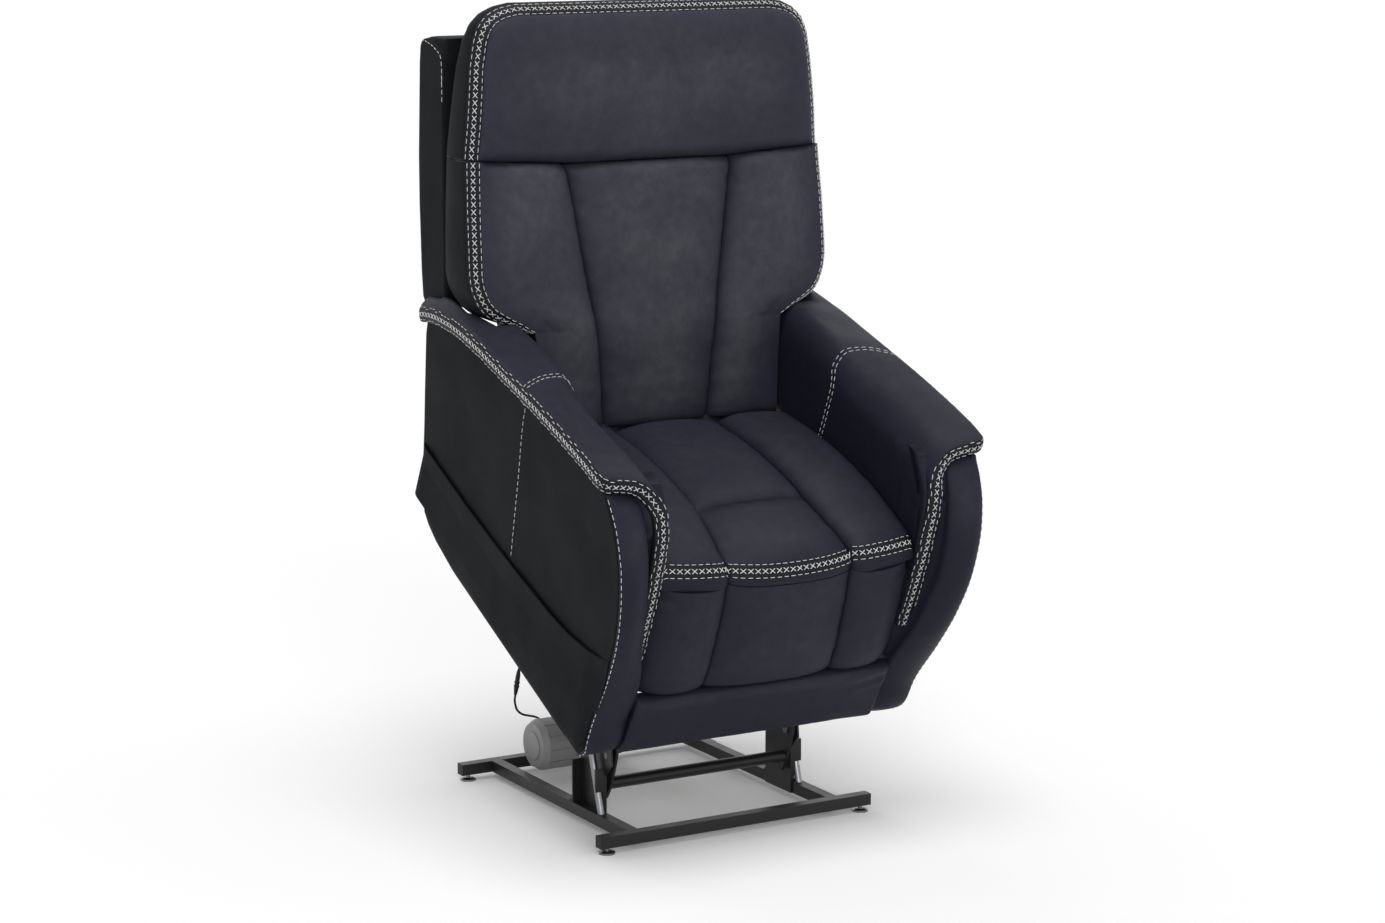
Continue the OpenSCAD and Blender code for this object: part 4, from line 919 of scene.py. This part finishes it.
def wrap_section(y):
    """Points across the arm at depth y, from the outer top fold over the crown and down the inner side."""
    e = float(edge_height(y))
    x0 = float(outer_x(e - 40)) + 12
    low = float(along(y, WRAP_LOW))
    pts = np.array(WRAP + [(INNER_X, low + 0.35 * (e - 175 - low) - e), (INNER_X, low - e)])
    rise = math.sin(math.pi / 2 * min(1, max(0, (y - 100) / 250))) ** 2
    tail = min(1, max(0, (y - 470) / 150))
    pts[:, 1] += rise * WRAP_RISE + tail * WRAP_TAIL
    pts[:, 0] = 305 + (pts[:, 0] - 305) * (x0 - 305) / 146
    pts[:, 1] += e
    if pts[-2, 1] > pts[-3, 1] - 5:
        pts[-3, 1] = (pts[-4, 1] + pts[-1, 1]) / 2
        pts[-2, 1] = (pts[-3, 1] + pts[-1, 1]) / 2
    return pts


# Points of a section over the crown and down the inner side
OVER, DOWN = 40, 26
ACROSS = OVER + DOWN - 1
ARM_Y = np.array(rows(-100, 716, 12, (620, 716, 6)))


def split_resample(corners):
    """Over the crown to the shoulder, then down the inner side, each evenly spaced."""
    whole = spline(corners, CURVE_STEPS)
    cut = SHOULDER * CURVE_STEPS
    return np.concatenate([evenly(whole[: cut + 1], OVER), evenly(whole[cut:], DOWN)[1:]])


def solid_skin(obj, thickness):
    """Gives an open skin a thickness inwards, in metres."""
    mod = obj.modifiers.new("skin", "SOLIDIFY")
    mod.thickness = thickness
    mod.offset = -1
    mod.use_even_offset = False
    old = obj.data
    obj.data = bpy.data.meshes.new_from_object(obj.evaluated_get(bpy.context.evaluated_depsgraph_get()))
    obj.modifiers.clear()
    bpy.data.meshes.remove(old)
    obj.data.name = obj.name


def arm_skin(side):
    """Grid of the leather over an arm, from the fold at its front to its drawn-in rear end."""
    main = []
    for y in ARM_Y:
        x, z = split_resample(wrap_section(y)).T
        main.append(points(x, y, z))
    front = split_resample(FRONT_EDGE)
    start = main[0]
    slope = unit(main[1] - start)
    span = np.linalg.norm(start - front, axis=1)[:, None]
    k = np.arange(ACROSS)
    grid = []
    for t in np.linspace(0, 1, 16)[:-1]:
        # The outer corner is rounded, the rest runs straight on
        bow = held(1 - k / 6)[:, None] * [1.6, -0.4, 0] * math.sin(math.pi * t**0.6)
        grid.append(front * (1 - t) + start * t + bow - slope * span * t * (1 - t) * 0.06)
    grid += main
    last, centre = main[-1], main[-1].mean(0)
    for depth, shrink in ((4, 0.03), (7, 0.09), (9, 0.2)):
        ring = last + (centre - last) * shrink
        ring[:, 1] = last[:, 1] + depth
        grid.append(ring)
    grid = np.array(grid)
    m = len(grid)
    fall = held(k / 6) * held((ACROSS - 1 - k) / 8) * held(np.arange(m)[:, None] / 5)
    normal = unit(np.cross(np.gradient(grid, axis=0), np.gradient(grid, axis=1)))
    if normal[m // 2, 10, 2] < 0:
        normal = -normal
    seeded = grid + [0, 0, 500.0 * (side > 0)]
    lump = 1.5 * noise(seeded, 120) + 0.6 * noise(seeded, 42)
    wrinkle = 1.6 * np.sin(grid[..., 1] / 11 + 2.5 * noise(seeded, 90))
    wrinkle = wrinkle * bell(k, OVER - 4, 9) * held(noise(seeded, 160) + 0.2)
    grid = grid + normal * ((lump + wrinkle) * fall)[..., None]
    grid[..., 0] = np.where(grid[..., 2] < 790, np.minimum(grid[..., 0], 305.6), grid[..., 0])
    return tucked(grid.reshape(-1, 3)).reshape(m, ACROSS, 3)


def flange_frame(edge, n_side):
    """Directions in which the flange drops and faces along the fold, whose front corner is point n_side."""
    t = unit(np.stack([smoothed(c) for c in np.gradient(edge, axis=0).T], 1))
    s = lengths(edge)
    s = s - s[n_side]
    turn = held((s + 14) / 30)
    turn = turn * turn * (3 - 2 * turn)
    a = np.radians(90) * turn
    lean = 0.10 * held((s - 130) / 60)
    drop = unit(-np.cross(t, points(np.cos(a) - lean + 0.04 * (1 - turn), -np.sin(a), 0)))
    return drop, np.cross(t, drop)


# Section of the flange, as (drop, height)
FLANGE_SHAPE = [
    (1.5, 1.4), (4, 2.8), (9, 4.2), (14.4, 4.9), (16, 4.3), (17.6, 4.9), (23, 4.4), (28, 3.2), (31.5, 1.6),
    (33.6, -0.6), (34, -4), (33.6, -11), (32.6, -19),
]


def arm_wrap(side):
    """The leather over an arm: crown, inner side and the sewn flange, whose middle line it returns."""
    grid = arm_skin(side)
    m = len(grid)
    edge = np.concatenate([grid[:-3, 0][::-1], grid[0, 1:]])
    drop, face = flange_frame(edge, m - 4)
    strip = np.array([edge] + [edge + drop * w + face * h for w, h in FLANGE_SHAPE])
    strip[1:, :, 1] = np.where(strip[1:, :, 1] > 700, np.minimum(strip[1:, :, 1], 722), strip[1:, :, 1])
    crown = held(bell(np.arange(ACROSS), 12, 12) + 0.15) * held(np.arange(m)[:, None] / 8)
    shade = along(np.arange(len(strip)), [(0, 0.3), (1, 0.8), (2, 1)])
    crown = np.concatenate([crown.ravel(), np.zeros(strip[..., 0].size + 1)])
    band = np.concatenate([np.zeros(m * ACROSS), np.repeat(shade, len(edge)) * 0.9, [0]])
    verts = np.concatenate([grid.reshape(-1, 3), strip.reshape(-1, 3), [grid[-1].mean(0) + [0, 1, 0]]])
    cap, last = len(verts) - 1, (m - 1) * ACROSS
    faces = grid_faces(m, ACROSS) + grid_faces(len(strip), len(edge), start=m * ACROSS)
    faces += [(last + j, last + j + 1, cap) for j in range(ACROSS - 1)]
    verts[:, 0] *= side
    obj = add_mesh(hand("arm_wrap", side), chair(verts), faces, NAVY, "chair", {"crown": crown, "band": band})
    point_outwards(obj)
    soft(obj, hand("arm_top_pad", side))
    solid_skin(obj, 0.0025)
    return chair((edge + drop * 16 + face * 4.4) * [side, 1, 1])


def point_outwards(obj):
    """Turns an open skin's faces so that its top looks up."""
    mesh = obj.data
    top = max(mesh.polygons, key=lambda f: f.center.z)
    if top.normal.z < 0:
        mesh.flip_normals()
    mesh.update()


def coons(bottom, top, left, right, nu, nv):
    """Grid over a four-sided outline. bottom and top run with u, left and right with v."""
    u, v = eased(nu), eased(nv)

    def at(line, share):
        line = np.array(line, float)
        return places(line, share * lengths(line)[-1])

    b, t, lf, rt = at(bottom, u), at(top, u), at(left, v), at(right, v)
    u, v = u[None, :, None], v[:, None, None]
    corners = (1 - u) * (1 - v) * b[0] + u * (1 - v) * b[-1] + (1 - u) * v * t[0] + u * v * t[-1]
    return (1 - v) * b[None] + v * t[None] + (1 - u) * lf[:, None] + u * rt[:, None] - corners


def rim_of(g):
    """The border of a grid, once round."""
    return np.concatenate([g[0], g[1:, -1], g[-1, -2::-1], g[-2:0:-1, 0]])


def closed_panel(front, back):
    nv, nu = front.shape[:2]
    off = nu * nv
    faces = grid_faces(nv, nu) + grid_faces(nv, nu, start=off)
    rim = rim_of(np.arange(off).reshape(nv, nu)).tolist()
    faces += [(a, a + off, b + off, b) for a, b in zip(rim, rim[1:] + rim[:1])]
    return np.concatenate([front.reshape(-1, 3), back.reshape(-1, 3)]), faces


def side_cover(side):
    """Leather over an arm's outer side, up to the seam round the padded front."""
    bottom = [(-200, 343), (430, 343)]
    top = [(y, float(edge_height(y)) - 24) for y in (-135, -74, 0, 124, 330, 456, 596, 660, 700)]
    left = [(y, z) for z, y in FRONT_SEAM]
    right = [(y, z) for z, y in ARM_REAR] + [(700, top[-1][1])]
    g = coons(bottom, top, left, right, 90, 60)
    y, z = g[..., 0], g[..., 1]
    d = outline_distance(y, z, rim_of(g))
    p = points(400 * side, y, z)
    height = 16 * dome(d, 9) + 1.5 * held(d / 90)
    height = height + (1.3 * noise(p, 150) + 0.4 * noise(p, 50)) * held(d / 30)
    inner = outer_x(z) - 16.2
    verts, faces = closed_panel(points(inner + height, y, z), points(inner, y, z))
    verts[:, 0] *= side
    obj = add_mesh(hand("side_cover", side), chair(verts), faces, SIDE, "chair")
    soft(obj, hand("arm_side_panel", side))


PAD_INNER = [
    (343, 301), (400, 302), (450, 303), (500, 305), (560, 315), (636, 334), (738, 350), (847, 356), (919, 359),
    (945, 364), (958, 374), (966, 390), (970, 408),
]
FRONT_DEPTH = [(z, y) for _, y, z in FRONT_EDGE[::-1]]
PAD_FULL = [(343, 3), (375, 10), (450, 14), (700, 16), (860, 18), (915, 15), (950, 9), (970, 2)]


def arm_front(side):
    """Puffed pad that fills the front of an arm inside the flange."""
    rings = []
    us = np.linspace(0, 1, 44)
    swell = np.sin(np.pi * us) ** 0.62
    for z in rows(344, 970, 8, (344, 372, 3), (900, 970, 3)):
        a = float(along(z, PAD_INNER))
        b = float(outer_x(z)) + 0.8
        y0 = float(smooth_along(np.array([float(z)]), FRONT_SEAM)[0])
        back_in = 7 + 9 * held((z - 600) / 60)
        y = y0 + back_in * (1 - us) ** 1.6 - float(along(z, PAD_FULL)) * swell
        x = a + us * (b - a) - 1.5 * held((us - 0.9) / 0.1) ** 2
        step = max(y0 + 18, float(along(z, FRONT_DEPTH)) + 6)
        inner = [(305.8, y0 + 60), (305.8, step), (a - 1.2, step - 1), (a - 1.2, y[0] + 8), (a - 0.8, y[0] + 3)]
        outer = [(b - 2.5, y0 + 4), (b - 6, y0 + 10), (b - 15, y0 + 30), (b - 20, y0 + 60)]
        ring = np.concatenate([inner, np.stack([x, y], 1), outer])
        rings.append(points(ring[:, 0], ring[:, 1], z))
    rings = np.array(rings)
    seeded = rings + [0, 0, 300.0 * (side > 0)]
    rings[..., 1] -= (1.6 * noise(seeded, 110) + 0.6 * noise(seeded, 40)) * held((rings[..., 0] - 312) / 10)
    # Painted highlight: this crown lightens the leather on the top of the pad.
    crown = np.append(bell(rings[..., 2], 905, 45) * bell(rings[..., 0], 395, 26) * 0.9, [0, 0])
    verts, faces = capped(rings, [rings[0].mean(0), rings[-1].mean(0)])
    verts[:, 0] *= side
    obj = add_mesh(hand("arm_front", side), chair(verts), faces, NAVY, "chair", {"crown": crown, "band": crown * 0})
    soft(obj, "arm_front_pads")


POCKET_RIM = [
    (-262, 640), (-230, 626), (-183, 610), (-100, 588), (-4, 574), (190, 559), (393, 550), (560, 549), (607, 549),
]
# How the rim folds over and the inside runs down to the handset, as (down, inwards)
POCKET_FOLD = [(-1.2, 0.6), (-1.9, 2.0), (-1.2, 3.4), (2, 4.2), (14, 4.4), (60, 4.4), (130, 4.4)]


def pocket_cover():
    """Leather pocket on the sitter's right arm: outer skin, folded rim and the inside down to the handset."""
    bottom = [(-200, 366), (-160, 356), (-140, 352), (425, 352), (520, 364), (560, 376)]
    top = POCKET_RIM + [(634, 549)]
    left = [(-200, 366), (-220, 400), (-230, 452), (-252, 565), (-262, 640)]
    right = [(560, 376), (592, 394), (620, 475), (634, 549)]
    g = coons(bottom, top, left, right, 80, 34)
    y, z = g[..., 0], g[..., 1]
    d = line_distance(y, z, np.concatenate([g[::-1, 0], g[0], g[:, -1]]))
    p = points(0, y, z)
    height = 0.8 + 8 * dome(d, 26) * np.clip((y + 262) / 70, 0.12, 1)
    height = height + (0.9 * noise(p, 90) + 0.3 * noise(p, 35)) * held(d / 20)
    grid = list(points(outer_x(z) + height, y, z))
    x, y, z = grid[-1].T
    for down, back in POCKET_FOLD:
        grid.append(points(np.maximum(x - back, outer_x(z - down) + 0.5), y, np.maximum(z - down, 400)))
    verts = np.concatenate(grid) * [-1, 1, 1]
    obj = add_mesh("pocket_cover", chair(verts), grid_faces(len(grid), len(x)), SIDE, "chair")
    soft(obj, "side_pocket")


FLANGE_LINES = {side: arm_wrap(side) for side in (1, -1)}
for cover in (side_cover, arm_front):
    for side in (1, -1):
        cover(side)
pocket_cover()


# ---------- back shell ----------

# Front edge of the shell's side, as (y, z): it rises, then curves back along the top
SHELL_CURVE = [
    (186, 1500), (188, 1560), (192, 1601), (205, 1621), (229, 1635), (253, 1644), (277, 1649), (296, 1652), (340, 1657),
]
SHELL_REAR = [
    (1084, 312), (1088, 322), (1098, 330), (1150, 336), (1300, 342), (1400, 342), (1600, 331), (1636, 326), (1646, 318),
    (1655, 306),
]
SHELL_HALF, SHELL_Y, SHELL_LIP = 414.5, 196.0, 62.0
SHELL_LOW, SHELL_TOP, SHELL_WALL = 1084, 1646, 8.0


def shell_side(y, z):
    """Half width of the shell: its side panel stands proud of the lining up to the curved front edge."""
    beyond = z > along(y, SHELL_CURVE)
    s = held(np.where(beyond, line_distance(y, z, SHELL_CURVE), 0) / 6)
    return SHELL_HALF - 10 * s * s * (3 - 2 * s)


def mirrored(left, across):
    """A line of (x, y) that runs from the left side across to its mirror image."""
    left = np.array(left, float)
    return np.concatenate([left, across, (left * [-1, 1])[::-1]])


def shell_ring(z, drawn=0.0, lid=False):
    """Section of the shell at a height: its outer line, then the inner one on the way back."""
    rear = float(along(z, SHELL_REAR)) - drawn
    r = min(34.0, (rear - SHELL_Y) * 0.4)
    wall_y = np.append(SHELL_Y + 3, np.linspace(SHELL_Y + 8, rear - r, 26))
    wall = np.stack([-shell_side(wall_y, z) + drawn, wall_y], 1)
    a = np.radians(np.linspace(180, 90, 9))[1:]
    corner = np.stack([wall[-1, 0] + r + r * np.cos(a), rear - r + r * np.sin(a)], 1)
    x0 = wall[0, 0]
    lip = [(x0 + SHELL_LIP, SHELL_Y + 1), (x0 + 30, SHELL_Y), (x0 + 5, SHELL_Y)]

    def crossing(x, n, y):
        return points(np.linspace(x, -x, n)[1:-1], y, 0)[:, :2]

    outer = mirrored(np.concatenate([lip, wall, corner]), crossing(corner[-1, 0], 28, rear))
    x1, y1 = 18 - SHELL_HALF, rear - SHELL_WALL
    left = [(x0 + SHELL_LIP, SHELL_Y + 6), (x1, SHELL_Y + 6), (x1, y1 - 12), (x1 + 12, y1)]
    inner = mirrored(left, crossing(x1 + 12, 14, y1))[::-1]
    if lid:
        inner[:, 1] = SHELL_Y + 1
    ring = np.concatenate([outer, inner])
    return points(ring[:, 0], ring[:, 1], z)


def shell_mesh():
    rings = [shell_ring(z) for z in rows(SHELL_LOW, SHELL_TOP, 12, (SHELL_LOW, 1100, 2), (1490, SHELL_TOP, 3))]
    rings.append(shell_ring(SHELL_TOP, lid=True))
    for a in (25, 50, 70, 90):
        s, c = math.sin(math.radians(a)), math.cos(math.radians(a))
        rings.append(shell_ring(SHELL_TOP + 9 * s, drawn=5 * (1 - c), lid=True))
    n = len(rings[0])
    faces = grid_faces(len(rings), n, wrap=True)
    faces += [tuple(range(n)), tuple((len(rings) - 1) * n + j for j in range(n))]
    soft(add_mesh("back_cover", upright(np.concatenate(rings)), faces, SIDE, "back"), "back_shell")


shell_mesh()


# ---------- sewing ----------

def thread(a, b, lift_a, lift_b, radius):
    """A short thread from a to b with both ends sunk in the leather."""
    t = np.array([0, 0.12, 0.5, 0.88, 1])[:, None]
    bow = np.array([-0.6, 0.55, 1, 0.55, -0.6])[:, None]
    n = lift_a + (lift_b - lift_a) * t
    pts = a + (b - a) * t + n * bow * radius
    return sweep(pts, np.array([0.55, 1, 1, 1, 0.55]) * radius, 6)


def on_surface(spots, tree):
    """Nearest places on a surface and its normals there."""
    found = [tree.find_nearest(Vector(p))[:2] for p in spots]
    return tuple(np.array(v) for v in zip(*found))


def walk(line, pitch, tree):
    """Places every pitch along a line, its direction there and the direction across it on the surface."""
    total = lengths(line)[-1]
    n = max(2, int(round(total / pitch)))
    at = (np.arange(n) + 0.5) * total / n
    p = places(line, at)
    t = unit(places(line, np.clip(at + pitch * 0.3, 0, total)) - places(line, np.clip(at - pitch * 0.3, 0, total)))
    return p, t, unit(np.cross(t, on_surface(p, tree)[1]))


def sewing(line, tree, spread=0.0140, crosses=True, dashes=(-1, 1)):
    """Rings of the threads of a sewn band: crosses along the line and a dashed row on each side of it."""
    out = []

    def stitch(starts, ends, radius):
        a, na = on_surface(starts, tree)
        b, nb = on_surface(ends, tree)
        out.extend(thread(a[k], b[k], na[k], nb[k], radius) for k in range(len(a)))

    if crosses:
        p, t, side = walk(line, 0.0160, tree)
        for s in (1, -1):
            reach = t * 0.0063 + side * 0.0052 * s
            stitch(p - reach, p + reach, 0.00092)
    p, t, side = walk(line, 0.0158, tree)
    for s in dashes:
        row = p + side * spread * s
        stitch(row - t * 0.0052, row + t * 0.0052, 0.00072)
    return out


def threads(name, rings, body):
    """One piece of the scene from the rings of many threads."""
    verts, faces = [], []
    for r in rings:
        m, n = r.shape[:2]
        start = len(verts) * m * n
        verts.append(r.reshape(-1, 3))
        faces += grid_faces(m, n, wrap=True, start=start)
        faces.append(tuple(start + j for j in range(n - 1, -1, -1)))
        faces.append(tuple(start + (m - 1) * n + j for j in range(n)))
    mesh = bpy.data.meshes.new(name)
    mesh.from_pydata([tuple(v) for v in np.concatenate(verts)], [], faces)
    mesh.polygons.foreach_set("use_smooth", [True] * len(mesh.polygons))
    mesh.materials.append(THREAD)
    obj = placed(name, mesh)
    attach(obj, body)


def back_threads():
    tree = SURFACES["back_pad_leather"]
    rings = []
    for rim in RIMS["back_pad_leather"]:
        rings += sewing(upright(rim[3][rim[0][:, 2] > 1042]), tree)
    threads("back_thread", rings, "back")
    line = upright(RIMS["headrest_leather"][0][3])
    threads("headrest_thread", sewing(line, SURFACES["headrest_leather"]), "headrest")


def single_row(corners, side, n, surface, place=chair):
    """One dashed row along a smooth curve on the left or, mirrored, on the right."""
    line = resample(np.array(corners, float) * [side, 1, 1], n)
    return sewing(place(line), SURFACES[surface], 0.0, False, (0,))


def shell_threads():
    curve = [(SHELL_HALF, max(y, SHELL_Y + 3), z - 2) for y, z in SHELL_CURVE[-2:0:-1]]
    curve += [(SHELL_HALF, SHELL_Y + 3, z) for z in (1575, 1520)]
    rings = sum((single_row(curve, side, 60, "back_cover", upright) for side in (1, -1)), [])
    threads("shell_thread", rings, "back")


# Where the double rows cross an arm: |x| and depth, then height and depth on the inner side
CAP_ROW = [(450, 215), (420, 232), (390, 245), (350, 252), (335, 250), (318, 240)]
INNER_ROW = [(930, 226), (900, 213), (850, 208), (800, 206), (778, 206)]
SIDE_ROW = [(938, 251), (928, 219), (900, 216), (783, 202), (662, 193), (572, 184)]


def arm_threads():
    rings, side_rings = [], []
    side_row = [(outer_x(z) + 2, y, z) for z, y in SIDE_ROW]
    front_row = [(outer_x(z) - 1.5, y - 4.5, z) for z, y in FRONT_SEAM[:-1]]
    cap = []
    for x, y in CAP_ROW:
        sec = wrap_section(y)
        cap.append((x, y, float(np.interp(-x, -sec[:, 0], sec[:, 1]))))
    cap += [(306.5, y, z) for z, y in INNER_ROW]
    for side, line in FLANGE_LINES.items():
        tree = SURFACES[hand("arm_wrap", side)]
        rings += sewing(line, tree)
        rings += sewing(chair(resample(np.array(cap) * [side, 1, 1], 90)), tree, 0.005, False)
        side_rings += single_row(side_row, side, 60, hand("side_cover", side))
        rings += single_row(front_row, side, 90, hand("arm_front", side))
    threads("arm_thread", rings, "chair")
    threads("side_thread", side_rings, "chair")


def seat_threads():
    x = np.linspace(-299, 299, 160)
    line = seat_front(x, band_angle(x))
    threads("seat_thread", sewing(chair(line), SURFACES["seat_leather"]), "chair")


back_threads()
shell_threads()
arm_threads()
seat_threads()


# ---------- floor, backdrop and light ----------

# A floor of the given radius in metres, its grey and its own faint light, and the world's light
FLOOR_RADIUS, FLOOR_SIDES, FLOOR_GREY, FLOOR_GLOW = 60.0, 64, 0.93, 0.10
WORLD_LIGHT = 0.33
WHITE = (1, 1, 1, 1)


def blank(owner):
    """Gives a material or the world an empty node tree."""
    owner.use_nodes = True
    owner.node_tree.nodes.clear()
    return owner


def seen_ray(owner):
    """1 on rays from the camera, from gloss and through glass, 0 on the rays that light the chair."""
    path = node(owner, "ShaderNodeLightPath").outputs
    near = calc(owner, "MAXIMUM", path["Is Camera Ray"], path["Is Glossy Ray"])
    return calc(owner, "MAXIMUM", near, path["Is Transmission Ray"])


def make_stage():
    """A white floor without an edge and an even white world."""
    mat = blank(bpy.data.materials.new("stage"))
    diffuse = node(mat, "ShaderNodeBsdfDiffuse", {"Color": (FLOOR_GREY, FLOOR_GREY, FLOOR_GREY, 1)})
    strength = calc(mat, "MULTIPLY", seen_ray(mat), FLOOR_GLOW)
    glow = node(mat, "ShaderNodeEmission", {"Color": WHITE, "Strength": strength})
    both = node(mat, "ShaderNodeAddShader", {0: diffuse.outputs[0], 1: glow.outputs[0]})
    node(mat, "ShaderNodeOutputMaterial", {"Surface": both.outputs[0]})
    mesh = bpy.data.meshes.new("floor")
    angles = [2 * math.pi * k / FLOOR_SIDES for k in range(FLOOR_SIDES)]
    verts = [(FLOOR_RADIUS * math.cos(a), FLOOR_RADIUS * math.sin(a), 0) for a in angles]
    mesh.from_pydata(verts, [], [tuple(range(FLOOR_SIDES))])
    mesh.materials.append(mat)
    placed("floor", mesh)

    world = blank(bpy.data.worlds.new("world"))
    bpy.context.scene.world = world
    light = node(world, "ShaderNodeBackground", {"Color": WHITE, "Strength": WORLD_LIGHT})
    white = node(world, "ShaderNodeBackground", {"Color": WHITE, "Strength": 1.0})
    mix = node(world, "ShaderNodeMixShader", {"Fac": seen_ray(world), 1: light.outputs[0], 2: white.outputs[0]})
    node(world, "ShaderNodeOutputWorld", {"Surface": mix.outputs[0]})


def sun(name, place, strength, spread):
    """A sun that shines from a place towards the origin."""
    data = bpy.data.lights.new(name, "SUN")
    data.energy = strength
    data.angle = math.radians(spread)
    obj = placed(name, data)
    obj.location = place
    obj.rotation_euler = (-Vector(place)).to_track_quat("-Z", "Y").to_euler()


make_stage()
sun("top", (-0.3, -0.9, 5.0), 1.60, 40)
sun("key", (-1.7, -5.0, 1.9), 0.85, 40)
sun("fill", (3.6, -2.4, 2.4), 0.15, 50)
sun("rim", (-0.5, 3.4, 3.2), 0.25, 40)

bpy.context.scene.view_settings.view_transform = "Standard"
